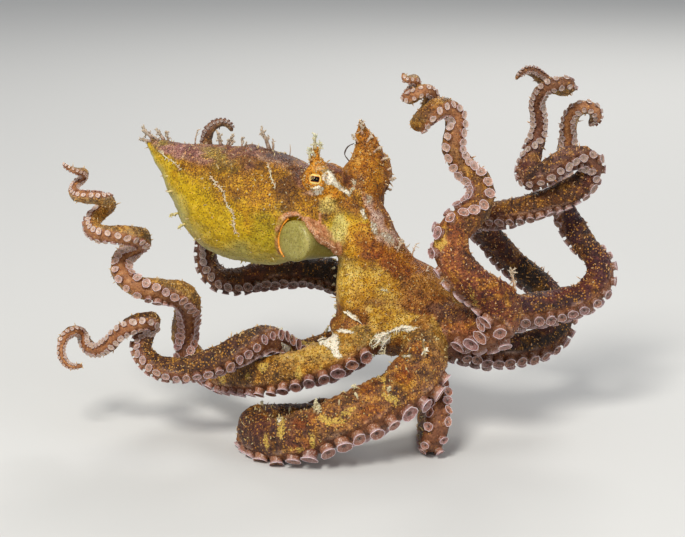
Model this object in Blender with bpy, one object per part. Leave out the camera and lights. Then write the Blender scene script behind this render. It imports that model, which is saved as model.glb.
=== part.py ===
# Algae octopus, life size, standing on two of its arms with the others raised and curled.
# Lengths are in millimetres until a mesh is made. +X is the viewer's right, +Y is away, +Z is up.
import math

import bmesh
import bpy
import numpy as np
from mathutils import Vector

# General sizes
MM = 0.001
GAP = 0.3
CENTRE_SHIFT = (-0.63, -3.96, 0.0)
ON_PLANE = 1e-7
SHARP_ANGLE = math.radians(45)

# Directions that the suckers of an arm can face
DOWN = (0.0, 0.0, -1.0)
NEAR = (0.0, -1.0, 0.0)
FAR = (0.0, 1.0, 0.0)
LEFT = (-1.0, 0.0, 0.0)
RIGHT = (1.0, 0.0, 0.0)
DOWN_NEAR = (0.0, -0.45, -0.9)
UP_NEAR = (0.0, -0.7, 0.7)
NEAR_RIGHT = (0.5, -0.85, 0.0)
NEAR_LEFT = (-0.5, -0.85, 0.0)
FAR_LEFT = (-0.7, 0.7, 0.0)
FAR_DOWN = (0.2, 0.6, -0.8)
DOWN_RIGHT = (0.7, -0.3, -0.65)

# Arms: the route of each one's axis, with the way its suckers face where that changes
ARM_ROUTES = {
    "arm_r1": [
        (18.0, -4.0, 30.0, DOWN_NEAR), (25.0, -9.5, 30.0), (31.5, -14.5, 30.0, DOWN_NEAR),
        (37.0, -18.5, 32.0, NEAR_RIGHT), (38.0, -21.5, 36.5), (34.0, -23.0, 41.5, FAR_LEFT),
        (28.5, -23.0, 45.5, FAR_LEFT), (25.3, -22.0, 50.5), (25.8, -20.0, 55.0, LEFT),
        (29.5, -18.0, 58.0), (32.8, -16.3, 61.8, NEAR_LEFT), (32.3, -14.6, 66.2),
        (28.8, -13.8, 69.2, NEAR), (26.2, -14.0, 73.0), (26.2, -14.0, 77.5), (26.6, -13.2, 81.0, NEAR),
        (24.2, -14.8, 83.8), (20.8, -17.6, 83.4, NEAR), (18.2, -17.2, 80.6), (17.8, -13.2, 80.0, NEAR),
        (20.2, -10.2, 82.6), (21.0, -10.8, 86.2, NEAR), (18.6, -14.4, 87.6), (15.6, -14.6, 85.4, NEAR),
        (15.2, -11.6, 85.8), (17.4, -10.6, 88.6, NEAR), (16.8, -13.0, 90.4), (14.4, -13.4, 89.6, NEAR),
        (14.2, -12.6, 91.6),
    ],
    "arm_r2": [
        (18.0, -5.0, 29.0, DOWN_NEAR), (20.0, -13.5, 25.5), (17.0, -21.8, 20.0),
        (9.5, -26.5, 15.2, DOWN_NEAR), (0.5, -28.3, 11.6), (-8.0, -28.0, 8.2, DOWN), (-14.8, -25.6, 5.8),
        (-19.8, -19.8, 4.9, DOWN), (-21.8, -12.5, 4.4), (-18.2, -5.5, 3.6), (-11.0, -1.5, 2.8, DOWN),
        (-4.5, 3.0, 2.2), (-1.0, 9.0, 1.6), (-3.5, 14.5, 1.2, DOWN), (-9.0, 15.0, 0.9),
    ],
    "arm_r3": [
        (17.0, -2.0, 27.0, NEAR), (20.3, -7.0, 20.3), (22.8, -13.5, 14.8, NEAR), (23.0, -19.8, 10.2),
        (22.2, -23.0, 6.8, NEAR), (21.6, -21.8, 4.2), (21.3, -17.0, 3.0, DOWN), (21.2, -9.5, 2.6),
        (21.3, -1.0, 2.4, DOWN), (21.8, 6.5, 2.2), (20.5, 14.5, 1.9, DOWN), (16.5, 21.0, 1.6),
        (10.5, 24.5, 1.3, DOWN), (4.5, 23.0, 1.1), (4.0, 18.5, 0.9, DOWN), (7.0, 17.5, 0.7),
    ],
    "arm_r4": [
        (15.0, -4.0, 29.0, DOWN_NEAR), (6.5, -8.5, 26.5), (-1.0, -11.0, 22.5, DOWN_NEAR),
        (-10.0, -11.0, 19.0), (-19.0, -8.0, 16.3, DOWN), (-26.5, -1.5, 14.0), (-33.0, 5.5, 13.0, DOWN),
        (-38.5, 10.5, 15.0), (-41.0, 12.0, 20.0, NEAR_RIGHT), (-40.0, 9.5, 26.0, NEAR_RIGHT),
        (-38.5, 5.0, 31.0), (-40.5, 0.0, 35.0, DOWN), (-45.0, -2.5, 36.5), (-50.0, -3.5, 37.5),
        (-54.0, -1.5, 39.5, DOWN_RIGHT), (-55.2, 3.0, 42.3), (-52.6, 5.2, 45.6, NEAR_RIGHT),
        (-49.4, 1.3, 48.4), (-51.2, -4.3, 50.8, DOWN_NEAR), (-56.0, -6.0, 51.5),
        (-60.2, -3.5, 51.3, NEAR), (-61.8, 1.0, 53.0), (-59.6, 4.5, 55.0), (-57.2, 2.0, 57.3, UP_NEAR),
        (-58.4, -2.5, 59.4), (-61.8, -4.5, 60.2, UP_NEAR), (-65.2, -2.0, 60.2), (-65.8, 2.0, 61.8),
        (-63.4, 3.2, 64.0, NEAR), (-63.4, 0.0, 65.7), (-66.0, -2.0, 66.7, NEAR), (-68.2, -0.3, 67.9),
    ],
    "arm_l4": [
        (14.0, 1.0, 27.5, DOWN), (5.5, 6.5, 22.0), (-3.0, 8.0, 18.5, DOWN), (-10.5, 4.5, 17.8),
        (-15.5, 0.0, 21.8, NEAR_RIGHT), (-19.3, -5.5, 25.0, NEAR_RIGHT), (-24.5, -11.0, 24.3),
        (-30.5, -15.0, 22.0, DOWN_NEAR), (-36.5, -16.0, 20.5), (-42.5, -15.0, 20.0, DOWN_NEAR),
        (-47.5, -12.0, 21.6), (-49.5, -7.5, 23.6, NEAR_LEFT), (-48.0, -4.2, 26.6),
        (-46.5, -6.0, 29.6, NEAR), (-49.5, -9.2, 30.4), (-53.6, -10.2, 28.2, NEAR_LEFT),
        (-56.8, -9.0, 24.6), (-60.0, -6.0, 22.0, NEAR_LEFT), (-63.2, -2.2, 21.8),
        (-64.8, 0.3, 24.0, NEAR), (-66.5, -2.2, 26.2), (-69.0, -5.5, 24.8, NEAR), (-69.2, -7.5, 21.0),
        (-66.8, -8.2, 18.2, NEAR_RIGHT), (-63.8, -8.2, 18.8),
    ],
    "arm_l3": [
        (16.0, 3.0, 28.0, DOWN), (8.5, 11.0, 31.0), (1.0, 16.0, 34.6, DOWN), (-7.0, 19.0, 35.8),
        (-14.5, 20.5, 35.3, DOWN_NEAR), (-22.5, 21.0, 34.0), (-28.5, 21.5, 32.7, DOWN_NEAR),
        (-33.0, 22.5, 33.6), (-35.4, 24.0, 37.2, NEAR_LEFT), (-35.2, 24.8, 42.4), (-34.4, 25.2, 48.0, LEFT),
        (-34.0, 25.4, 54.0), (-34.4, 25.4, 60.0, LEFT), (-35.0, 25.4, 65.5), (-35.2, 25.4, 69.2, LEFT),
        (-34.2, 25.4, 72.0), (-32.2, 25.2, 73.6, UP_NEAR), (-30.0, 25.0, 73.9), (-28.4, 24.7, 72.8),
        (-28.2, 24.3, 71.2, RIGHT),
    ],
    "arm_l2": [
        (21.0, 1.5, 25.5, DOWN), (28.0, 4.0, 21.5, DOWN_NEAR), (36.5, 6.0, 19.0),
        (45.0, 7.5, 18.5, DOWN_NEAR), (52.0, 10.0, 20.0, DOWN_RIGHT), (56.0, 14.0, 24.0),
        (54.5, 17.5, 29.0, FAR), (49.5, 18.5, 34.0, FAR_LEFT), (43.5, 17.0, 39.5),
        (38.0, 14.5, 46.0, FAR_LEFT), (34.5, 10.0, 51.0, LEFT), (35.0, 4.5, 54.0),
        (39.5, 1.0, 55.0, DOWN_NEAR), (45.0, -1.5, 57.0), (51.5, -2.5, 59.5, DOWN),
        (56.0, -2.3, 61.6, FAR_DOWN), (59.4, -2.3, 64.4), (60.2, -3.0, 68.0, DOWN), (57.4, -4.5, 70.6),
        (53.2, -6.2, 69.8, DOWN_NEAR), (49.4, -6.8, 67.0), (46.0, -4.6, 64.8, DOWN_NEAR),
        (45.0, -0.2, 65.6), (46.6, 3.4, 69.2, LEFT), (48.0, 4.4, 73.6, NEAR), (48.0, 4.4, 78.2),
        (47.3, 3.2, 82.5, NEAR), (49.0, 0.3, 86.2), (52.5, -1.2, 87.6, NEAR), (55.0, 1.2, 86.2),
        (53.4, 4.8, 85.0), (49.8, 6.4, 86.6, UP_NEAR), (46.6, 4.2, 89.4), (43.6, 2.0, 90.2),
        (41.8, 1.0, 88.0, NEAR),
    ],
    "arm_l1": [
        (20.0, 1.5, 29.5, DOWN), (28.0, -0.5, 30.0), (36.0, -3.0, 30.8, DOWN_NEAR), (45.5, -4.0, 32.0),
        (54.0, -3.5, 33.2, DOWN_NEAR), (60.5, -3.0, 35.6, DOWN_RIGHT), (63.8, -1.0, 39.6, RIGHT),
        (62.0, 2.0, 44.8, FAR), (58.2, 5.0, 49.4, FAR_LEFT), (55.6, 7.5, 54.0, LEFT), (54.8, 9.5, 60.0),
        (55.6, 10.5, 66.0, NEAR), (56.0, 9.6, 72.0), (55.8, 7.5, 76.5, NEAR), (57.3, 5.2, 80.3),
        (60.5, 4.4, 81.0, UP_NEAR), (62.5, 6.0, 78.2), (61.0, 8.6, 76.0, NEAR),
    ],
}
# Radii at even steps from root to tip, the length inside the crown, and the fractions where the arm is parted
ARM_SIZES = {
    "arm_r1": ((5.4, 5.0, 4.1, 3.0, 2.0, 1.1), 15.0, (0.32, 0.46, 0.60, 0.73, 0.86)),
    "arm_r2": ((6.3, 6.1, 5.6, 4.9, 3.4, 1.2), 20.0, (0.38, 0.58, 0.78)),
    "arm_r3": ((4.0, 3.5, 3.0, 2.6, 1.9, 0.9), 20.0, (0.42, 0.70)),
    "arm_r4": ((5.2, 4.4, 3.5, 2.9, 2.1, 1.0), 15.0, (0.22, 0.36, 0.47, 0.58, 0.69, 0.80, 0.90)),
    "arm_l4": ((4.3, 3.9, 3.5, 2.5, 2.1, 1.0), 14.0, (0.28, 0.42, 0.56, 0.68, 0.80, 0.90)),
    "arm_l3": ((4.4, 4.1, 3.6, 2.9, 2.0, 0.9), 16.0, (0.30, 0.46, 0.60, 0.76, 0.88)),
    "arm_l2": ((4.4, 3.8, 3.3, 3.1, 2.4, 1.2), 14.0, (0.22, 0.34, 0.46, 0.56, 0.66, 0.76, 0.87)),
    "arm_l1": ((5.0, 4.3, 3.7, 3.1, 2.6, 1.4), 14.0, (0.30, 0.46, 0.60, 0.74, 0.87)),
}
ARM_WIDTH = 0.86
CURVE_STEPS = 16
ROUTE_STEP = 0.4
ROUTE_EASING = 1.3
TURN_EASING = 3.0
TOO_LENGTHWISE = 0.93
TIP_TAPER = 0.03
TIP_ROUNDING = 0.45
RING_STEP = 1.35
SHORTEST_STEP = 2.1
BASE_SIDES = 8
TIP_SIDES = 6
THIN_ARM = 2.4

# Suckers
SUCKER_SHARE = 0.36
SUCKER_LEAST = 0.62
BROAD_SUCKER = 1.2
BROAD_SUCKER_SIDES = 6
SMALL_SUCKER_SIDES = 5
SUCKER_HEIGHT = 0.95
SUCKER_SPLAY = math.radians(34)
SUCKER_SPACING = 8.0
SUCKER_CLEARANCE = 0.45
SUCKER_SINK = 0.55
END_REACH = 2.2
OWN_STRETCH = 2.5
CUP_DEPTH = 0.55
NECK_SHARE = 0.78

# Mantle and head: centre, half height and half width of each cross-section, from the mantle's tip down
MANTLE_SECTIONS = [
    (-48.6, 14.0, 71.0, 1.0, 1.0), (-47.0, 13.4, 69.7, 2.2, 2.0), (-42.5, 11.8, 66.6, 4.8, 4.6),
    (-36.0, 9.8, 62.3, 9.9, 8.8), (-28.8, 7.9, 58.0, 14.2, 12.4), (-21.2, 5.4, 56.1, 14.6, 12.9),
    (-13.6, 3.0, 55.4, 13.3, 11.9), (-7.1, 1.0, 54.9, 10.5, 9.7), (0.0, 0.0, 56.2, 7.6, 7.4),
    (3.0, -0.5, 56.5, 4.0, 4.0),
]
HEAD_SECTIONS = [
    (-3.0, 1.0, 61.0, 3.5, 4.0), (0.0, 0.5, 58.5, 7.0, 7.0), (3.5, -0.5, 53.7, 7.7, 7.6),
    (6.8, -1.5, 46.0, 8.2, 8.0), (9.7, -2.0, 39.4, 10.0, 9.2), (13.2, -2.0, 33.7, 12.9, 10.8),
    (16.5, -2.0, 28.5, 13.6, 11.0), (19.0, -2.0, 23.5, 8.5, 7.5),
]
# The fold of web that hangs from the column to the near left arms
WEB_SECTIONS = [
    (3.7, -2.0, 43.3, 4.9, 5.5), (3.8, -3.0, 37.5, 5.3, 7.0), (3.9, -4.5, 31.5, 5.4, 7.0),
    (3.6, -6.5, 26.0, 5.1, 6.0), (6.5, -7.0, 22.5, 3.0, 4.0),
]
MANTLE_SIDES = 16
HEAD_SIDES = 14
NEARLY_UPRIGHT = 0.95
NECK_POINT, NECK_NORMAL = (-6.8, 0.0, 57.0), (0.94, -0.12, 0.34)
CROWN_POINT, CROWN_NORMAL = (11.3, -2.0, 40.3), (0.42, 0.0, -0.9)
CROWN_PARTING, CROWN_ACROSS = (20.0, -3.6, 30.0), (0.25, 1.0, 0.0)

# Eyes: the ball's radius and centre, and the turret and horn beside it
EYE_RADIUS = 2.5
EYE_CENTRES = {"eye_right": (-6.3, -6.2, 65.0), "eye_left": (8.8, 11.0, 65.4)}
TURRETS = {
    "eye_right": [
        (-3.5, -1.0, 61.0, 6.5), (-5.2, -4.2, 64.2, 5.0), (-6.4, -6.8, 65.2, 3.5), (-6.8, -8.0, 65.3, 2.0),
    ],
    "eye_left": [
        (3.0, 2.0, 58.0, 6.8), (6.0, 6.5, 63.0, 6.0), (8.4, 10.2, 65.3, 4.4), (9.8, 12.3, 65.6, 2.2),
    ],
}
HORNS = {
    "horn_right": [
        (-5.6, -4.6, 66.0, 3.2), (-6.2, -5.0, 69.5, 2.0), (-6.4, -5.2, 72.0, 1.1), (-6.8, -5.2, 75.0, 0.5),
    ],
    "horn_left": [
        (6.4, 7.2, 66.0, 5.2), (6.0, 8.0, 70.5, 3.4), (5.0, 8.2, 74.0, 1.4), (4.4, 8.2, 77.5, 0.5),
    ],
}
TURRET_SIDES = 8
BALL_RINGS = 7
BALL_SIDES = 12

# Siphon: centre and radius of each cross-section, from its root to its rounded end
SIPHON_SECTIONS = [
    (1.5, -1.0, 49.0, 3.2), (-3.5, -4.8, 49.9, 4.4), (-7.6, -8.1, 50.6, 4.9), (-10.4, -10.6, 51.0, 4.8),
    (-12.2, -12.3, 51.3, 3.5), (-12.8, -12.9, 51.4, 1.5),
]
SIPHON_BED_ROOT = (1.9, -0.7, 48.95)
SIPHON_SIDES = 12

# Papillae: root on the skin, the way each one stands, its length and its root radius
MANTLE_PAPILLAE = [
    ((-47.6, 14.0, 70.6), (-0.9, -0.1, 0.6), 3.6, 0.9),
    ((-46.8, 13.4, 70.6), (-0.2, -0.3, 1.0), 3.4, 0.9),
    ((-44.5, 13.0, 70.6), (0.1, 0.4, 1.0), 3.2, 0.9),
    ((-46.0, 12.4, 68.0), (-0.8, -0.7, 0.0), 2.8, 0.8),
    ((-37.0, 10.8, 70.6), (-0.1, 0.0, 1.0), 4.6, 0.8), ((-31.0, 9.2, 70.4), (0.0, 0.1, 1.0), 6.0, 1.3),
    ((-25.0, 6.5, 70.6), (0.0, -0.2, 1.0), 4.6, 1.0), ((-18.0, 6.0, 69.5), (-0.1, 0.2, 1.0), 7.6, 1.2),
    ((-12.5, 4.0, 67.6), (0.3, 0.0, 1.0), 4.4, 0.8), ((-28.0, 15.5, 66.5), (0.0, 0.7, 0.8), 4.4, 0.9),
    ((-17.0, 14.5, 63.0), (0.1, 0.8, 0.6), 4.2, 0.9),
    ((-41.5, 10.5, 60.0), (-0.8, -0.1, -0.6), 3.0, 0.8),
    ((-38.6, 9.0, 53.6), (-0.9, -0.3, -0.4), 4.0, 1.1),
    ((-33.0, 7.5, 46.8), (-0.6, -0.2, -0.9), 3.0, 0.9),
    ((-21.5, 4.5, 41.5), (-0.2, -0.2, -1.0), 3.0, 1.1),
    ((-27.0, -3.6, 56.0), (-0.3, -1.0, 0.1), 2.6, 0.8),
    ((-17.0, -6.0, 62.5), (-0.2, -0.9, 0.4), 2.8, 0.8),
    ((-25.0, 19.0, 55.0), (-0.2, 1.0, 0.0), 2.8, 0.9),
]
HEAD_PAPILLAE = [
    ((-1.0, -5.5, 64.5), (0.2, -0.7, 0.7), 2.6, 0.7), ((2.0, 2.0, 64.5), (0.0, 0.0, 1.0), 3.4, 0.7),
    ((12.0, 8.5, 63.5), (1.0, 0.0, 0.3), 4.2, 0.8), ((11.0, 9.5, 69.0), (0.6, 0.2, 0.8), 2.6, 0.7),
    ((12.5, -3.0, 56.5), (0.9, -0.2, 0.6), 3.2, 0.8), ((18.5, -3.5, 47.5), (0.9, -0.2, 0.6), 3.4, 0.8),
    ((0.8, -6.5, 43.0), (-0.9, -0.4, -0.1), 2.4, 0.7), ((4.0, -8.5, 57.0), (0.1, -1.0, 0.3), 2.4, 0.7),
]
CROWN_PAPILLAE = [
    ((25.0, -6.0, 38.5), (0.7, -0.3, 0.8), 3.2, 0.8), ((2.5, -9.5, 33.0), (-0.7, -0.6, 0.4), 3.2, 0.8),
    ((12.0, -12.0, 32.0), (0.0, -1.0, 0.3), 3.0, 0.9), ((14.0, 9.5, 36.0), (0.0, 0.9, 0.6), 3.0, 0.8),
]
# How many papillae stand along the back of each arm's thick half, and their size
ARM_PAPILLAE = {
    "arm_r1": 4, "arm_r2": 7, "arm_r3": 2, "arm_r4": 6,
    "arm_l4": 5, "arm_l3": 3, "arm_l2": 4, "arm_l1": 6,
}
PAPILLA_SIDES = 4
PAPILLA_SINK = 1.6
PAPILLA_BEND = 0.18
PAPILLA_WAIST = 0.55
PAPILLA_TIP = 0.3
ARM_PAPILLA_LENGTH = 2.8
ARM_PAPILLA_RADIUS = 0.65
ARM_PAPILLA_FIRST = 4.0
ARM_PAPILLA_REACH = 0.62
ARM_PAPILLA_SPREAD = math.radians(28)
ARM_PAPILLA_LEAN = 0.35
ARM_PAPILLA_MARGIN = 1.5

# Colours, as linear red, green and blue
COLOURS = {
    "mantle": ((0.62, 0.36, 0.05), 0.5),
    "head": ((0.52, 0.25, 0.06), 0.5),
    "crown": ((0.40, 0.19, 0.07), 0.5),
    "siphon": ((0.50, 0.42, 0.13), 0.4),
    "eye": ((0.75, 0.62, 0.35), 0.15),
    "arm": ((0.26, 0.11, 0.05), 0.5),
}


def clear_scene():
    for thing in list(bpy.data.objects):
        bpy.data.objects.remove(thing)


def material_for(kind):
    """The Principled material of one kind of surface, made once."""
    made = bpy.data.materials.get(kind)
    if made:
        return made
    colour, roughness = COLOURS[kind]
    made = bpy.data.materials.new(kind)
    made.use_nodes = True
    shader = made.node_tree.nodes["Principled BSDF"]
    shader.inputs["Base Color"].default_value = (*colour, 1.0)
    shader.inputs["Roughness"].default_value = roughness
    shader.inputs["Metallic"].default_value = 0.0
    return made


def unit(vector):
    vector = np.asarray(vector, float)
    return vector / np.linalg.norm(vector)


def smooth_curve(knots):
    """Points of a centripetal Catmull-Rom curve through the knots, and the point that each knot became."""
    knots = np.asarray(knots, float)
    ends = np.vstack([2 * knots[0] - knots[1], knots, 2 * knots[-1] - knots[-2]])
    points = []
    for i in range(1, len(ends) - 2):
        four = ends[i - 1 : i + 3]
        gaps = np.sqrt(np.linalg.norm(np.diff(four, axis=0), axis=1))
        t0, t1, t2, t3 = 0.0, gaps[0], gaps[0] + gaps[1], gaps.sum()
        for t in np.linspace(t1, t2, CURVE_STEPS, endpoint=False):
            a1 = (t1 - t) / (t1 - t0) * four[0] + (t - t0) / (t1 - t0) * four[1]
            a2 = (t2 - t) / (t2 - t1) * four[1] + (t - t1) / (t2 - t1) * four[2]
            a3 = (t3 - t) / (t3 - t2) * four[2] + (t - t2) / (t3 - t2) * four[3]
            b1 = (t2 - t) / (t2 - t0) * a1 + (t - t0) / (t2 - t0) * a2
            b2 = (t3 - t) / (t3 - t1) * a2 + (t - t1) / (t3 - t1) * a3
            points.append((t2 - t) / (t2 - t1) * b1 + (t - t1) / (t2 - t1) * b2)
    points.append(knots[-1])
    points = np.array(points)
    return points, np.arange(len(knots)) * CURVE_STEPS


def lengths_along(points):
    return np.concatenate([[0.0], np.cumsum(np.linalg.norm(np.diff(points, axis=0), axis=1))])


def softened(points, spread):
    """The curve evenly divided, with its sharpest bends eased and its two ends kept."""
    at = lengths_along(points)
    even = np.linspace(0, at[-1], round(at[-1] / ROUTE_STEP) + 1)
    points = np.array([np.interp(even, at, points[:, k]) for k in range(3)]).T
    line = points[0] + (points[-1] - points[0]) * (even / even[-1])[:, None]
    weights = np.exp(-0.5 * ((even[:, None] - even[None, :]) / spread) ** 2)
    mirrored = 0.0
    for end in (0.0, even[-1]):
        mirrored += np.exp(-0.5 * ((even[:, None] - 2 * end + even[None, :]) / spread) ** 2)
    total = (weights + mirrored).sum(1)
    weights -= mirrored
    return line + (weights / total[:, None]) @ (points - line)


class Arm:
    """An arm's axis as a smooth curve, with its length, radius and the way its suckers face at each place."""

    def __init__(self, name):
        route = ARM_ROUTES[name]
        self.name = name
        self.sizes, self.root, self.cuts = ARM_SIZES[name]
        curve, marks = smooth_curve([knot[:3] for knot in route])
        marks = lengths_along(curve)[marks]
        self.points = softened(curve, ROUTE_EASING)
        self.at = lengths_along(self.points)
        self.length = self.at[-1]
        self.tangents = np.gradient(self.points, self.at, axis=0)
        self.tangents /= np.linalg.norm(self.tangents, axis=1)[:, None]
        self.oral = self.facing(route, marks * self.length / marks[-1])
        self.radii = np.array([self.radius(s) for s in self.at])

    def facing(self, route, marks):
        """Unit vectors across the axis towards the suckers, turning evenly between the stated directions."""
        free = [unit(np.cross(self.tangents[0], (0.3, 0.5, 0.8)))]
        for tangent in self.tangents[1:]:
            free.append(unit(free[-1] - (free[-1] @ tangent) * tangent))
        free = np.array(free)
        beside = np.cross(self.tangents, free)
        places, turns = [], []
        for place, knot in zip(marks, route):
            if len(knot) == 3:
                continue
            i = min(np.searchsorted(self.at, place), len(self.at) - 1)
            if abs(np.dot(unit(knot[3]), self.tangents[i])) < TOO_LENGTHWISE:
                places.append(self.at[i])
                turns.append(math.atan2(np.dot(knot[3], beside[i]), np.dot(knot[3], free[i])))
        turn = np.interp(self.at, places, np.unwrap(turns))
        spread = np.exp(-0.5 * ((self.at[:, None] - self.at[None, :]) / TURN_EASING) ** 2)
        turn = (spread @ turn) / spread.sum(1)
        return np.cos(turn)[:, None] * free + np.sin(turn)[:, None] * beside

    def radius(self, s):
        """Radius at length s, rounded off over the last stretch."""
        t = s / self.length
        plain = np.interp(t, np.linspace(0, 1, len(self.sizes)), self.sizes)
        left = max(0.0, (1.0 - t) / TIP_TAPER)
        return plain * (TIP_ROUNDING + (1 - TIP_ROUNDING) * math.sqrt(min(1.0, left)))

    def frame(self, s):
        """Centre, tangent, oral and side vectors at length s."""
        centre = np.array([np.interp(s, self.at, self.points[:, k]) for k in range(3)])
        tangent = unit([np.interp(s, self.at, self.tangents[:, k]) for k in range(3)])
        oral = np.array([np.interp(s, self.at, self.oral[:, k]) for k in range(3)])
        oral = unit(oral - (oral @ tangent) * tangent)
        return centre, tangent, oral, np.cross(tangent, oral)

    def surface(self, s, angle):
        """Distance from the axis to the skin, and the direction there, at an angle from the oral side."""
        _, _, oral, side = self.frame(s)
        r = self.radius(s)
        reach = 1 / math.sqrt((math.cos(angle) / r) ** 2 + (math.sin(angle) / (ARM_WIDTH * r)) ** 2)
        return reach, math.cos(angle) * oral + math.sin(angle) * side


def mesh_object(name, verts, faces, kind):
    """A mesh object from points in millimetres."""
    mesh = bpy.data.meshes.new(name)
    shifted = np.asarray(verts, float) - CENTRE_SHIFT
    mesh.from_pydata((shifted * MM).tolist(), [], faces)
    mesh.validate()
    made = bpy.data.objects.new(name, mesh)
    bpy.context.scene.collection.objects.link(made)
    mesh.materials.append(material_for(kind))
    return made


def ring_points(centre, across_a, across_b, radius_a, radius_b, sides):
    angles = np.arange(sides) / sides * 2 * math.pi
    return [centre + radius_a * math.cos(a) * across_a + radius_b * math.sin(a) * across_b for a in angles]


def skinned(rings):
    """Points and faces of a closed body through rings of equal count, with flat ends."""
    sides = len(rings[0])
    verts = [p for ring in rings for p in ring]
    faces = []
    for k in range(len(rings) - 1):
        for i in range(sides):
            j = (i + 1) % sides
            faces.append((k * sides + i, k * sides + j, (k + 1) * sides + j, (k + 1) * sides + i))
    faces.append(tuple(reversed(range(sides))))
    faces.append(tuple((len(rings) - 1) * sides + i for i in range(sides)))
    return verts, faces


def face_out(made):
    """Turns every face of a closed mesh outwards and makes triangles."""
    work = bmesh.new()
    work.from_mesh(made.data)
    bmesh.ops.triangulate(work, faces=work.faces)
    bmesh.ops.recalc_face_normals(work, faces=work.faces)
    if work.calc_volume(signed=True) < 0:
        bmesh.ops.reverse_faces(work, faces=work.faces)
    work.to_mesh(made.data)
    work.free()
    return made


def arm_length(arm, name, start, end, kind="arm"):
    """The tube of an arm between two lengths along it."""
    middle = arm.radius((start + end) / 2)
    sides = BASE_SIDES if middle > THIN_ARM else TIP_SIDES
    step = max(SHORTEST_STEP, RING_STEP * middle)
    count = max(2, round((end - start) / step)) + 1
    rings = []
    for s in np.linspace(start, end, count):
        centre, _, oral, side = arm.frame(s)
        r = arm.radius(s)
        rings.append(ring_points(centre, oral, side, r, ARM_WIDTH * r, sides))
    return face_out(mesh_object(name, *skinned(rings), kind))


def sucker(arm, s, row):
    """A cup on a short stalk, its root sunk in the arm."""
    centre, tangent, _, _ = arm.frame(s)
    reach, out = arm.surface(s, row * SUCKER_SPLAY)
    r = sucker_radius(arm, s)
    sides = BROAD_SUCKER_SIDES if r > BROAD_SUCKER else SMALL_SUCKER_SIDES
    across = np.cross(out, tangent)
    root = centre + out * reach * SUCKER_SINK
    rim = centre + out * (reach + SUCKER_HEIGHT * r)
    floor = rim - out * CUP_DEPTH * r
    low = ring_points(root, tangent, across, NECK_SHARE * r, NECK_SHARE * r, sides)
    high = ring_points(rim, tangent, across, r, r, sides)
    verts = low + high + [floor]
    faces = [(i, (i + 1) % sides, sides + (i + 1) % sides, sides + i) for i in range(sides)]
    faces += [(sides + i, sides + (i + 1) % sides, 2 * sides) for i in range(sides)]
    faces.append(tuple(reversed(range(sides))))
    return face_out(mesh_object("sucker", verts, faces, "arm"))


def sucker_radius(arm, s):
    return max(SUCKER_LEAST, SUCKER_SHARE * arm.radius(s))


def rim_centre(arm, s, row):
    """Middle of the rim of a sucker."""
    centre, _, _, _ = arm.frame(s)
    reach, out = arm.surface(s, row * SUCKER_SPLAY)
    return centre + out * (reach + SUCKER_HEIGHT * sucker_radius(arm, s))


def sucker_places(arm, start, end, arms):
    """(length, row) of the suckers between two lengths, in two staggered rows, each with room around it."""
    low = start + sucker_radius(arm, start) + GAP
    high = end - sucker_radius(arm, end) - GAP
    if high < low:
        return []
    spacing = SUCKER_SPACING / 2 * sucker_radius(arm, (start + end) / 2)
    count = max(1, round((high - low) / spacing))
    places, rims = [], []
    for k in range(count + 1):
        s, row = low + (high - low) * k / count, 1 if k % 2 else -1
        rim, r = rim_centre(arm, s, row), sucker_radius(arm, s)
        if any(np.linalg.norm(rim - other) < r + other_r + SUCKER_CLEARANCE for other, other_r in rims):
            continue
        if has_room(arm, s, rim, r + SUCKER_CLEARANCE, (start, end), arms):
            places.append((s, row))
            rims.append((rim, r))
    return places


def has_room(arm, s, rim, r, ends, arms):
    """True where a ball round a rim or tip is clear of the length's ends and of other arms."""
    for end, sign in ((ends[0], -1), (ends[1], 1)):
        centre, tangent, _, _ = arm.frame(end)
        beyond = sign * (rim - centre) @ tangent
        if beyond > -r and np.linalg.norm(rim - centre) < END_REACH * arm.radius(end) + r:
            return False
    for other in arms:
        away = np.linalg.norm(other.points - rim, axis=1) - other.radii - r
        if other is arm:
            away[np.abs(other.at - s) < OWN_STRETCH * arm.radius(s)] = r
        if away.min() < 0:
            return False
    return True


def papilla(root, way, length, radius):
    """A bent, tapered spine with its root sunk in the skin."""
    way = unit(way)
    across = unit(np.cross(way, (0.3, 0.9, 0.2)))
    other = np.cross(way, across)
    root = np.asarray(root, float)
    middle = root + way * length / 2 + across * PAPILLA_BEND * length
    waist = PAPILLA_WAIST * radius
    rings = [
        ring_points(root - way * PAPILLA_SINK, across, other, radius, radius, PAPILLA_SIDES),
        ring_points(middle, across, other, waist, waist, PAPILLA_SIDES),
        ring_points(root + way * length, across, other, PAPILLA_TIP, PAPILLA_TIP, PAPILLA_SIDES),
    ]
    return face_out(mesh_object("papilla", *skinned(rings), "arm"))


def arm_papillae(arm, start, end, arms):
    """The papillae along the back of an arm that lie between two lengths and have room around them."""
    made = []
    count = ARM_PAPILLAE[arm.name]
    for k in range(count):
        s = arm.root + ARM_PAPILLA_FIRST + (ARM_PAPILLA_REACH * arm.length - arm.root) * k / count
        if not start + ARM_PAPILLA_MARGIN < s < end - ARM_PAPILLA_MARGIN:
            continue
        centre, tangent, _, _ = arm.frame(s)
        reach, out = arm.surface(s, math.pi + ARM_PAPILLA_SPREAD * (1 if k % 2 else -1))
        way = unit(out + ARM_PAPILLA_LEAN * tangent)
        root = centre + out * reach
        if has_room(arm, s, root + way * ARM_PAPILLA_LENGTH, 2 * GAP, (start, end), arms):
            made.append(papilla(root, way, ARM_PAPILLA_LENGTH, ARM_PAPILLA_RADIUS))
    return made


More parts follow.
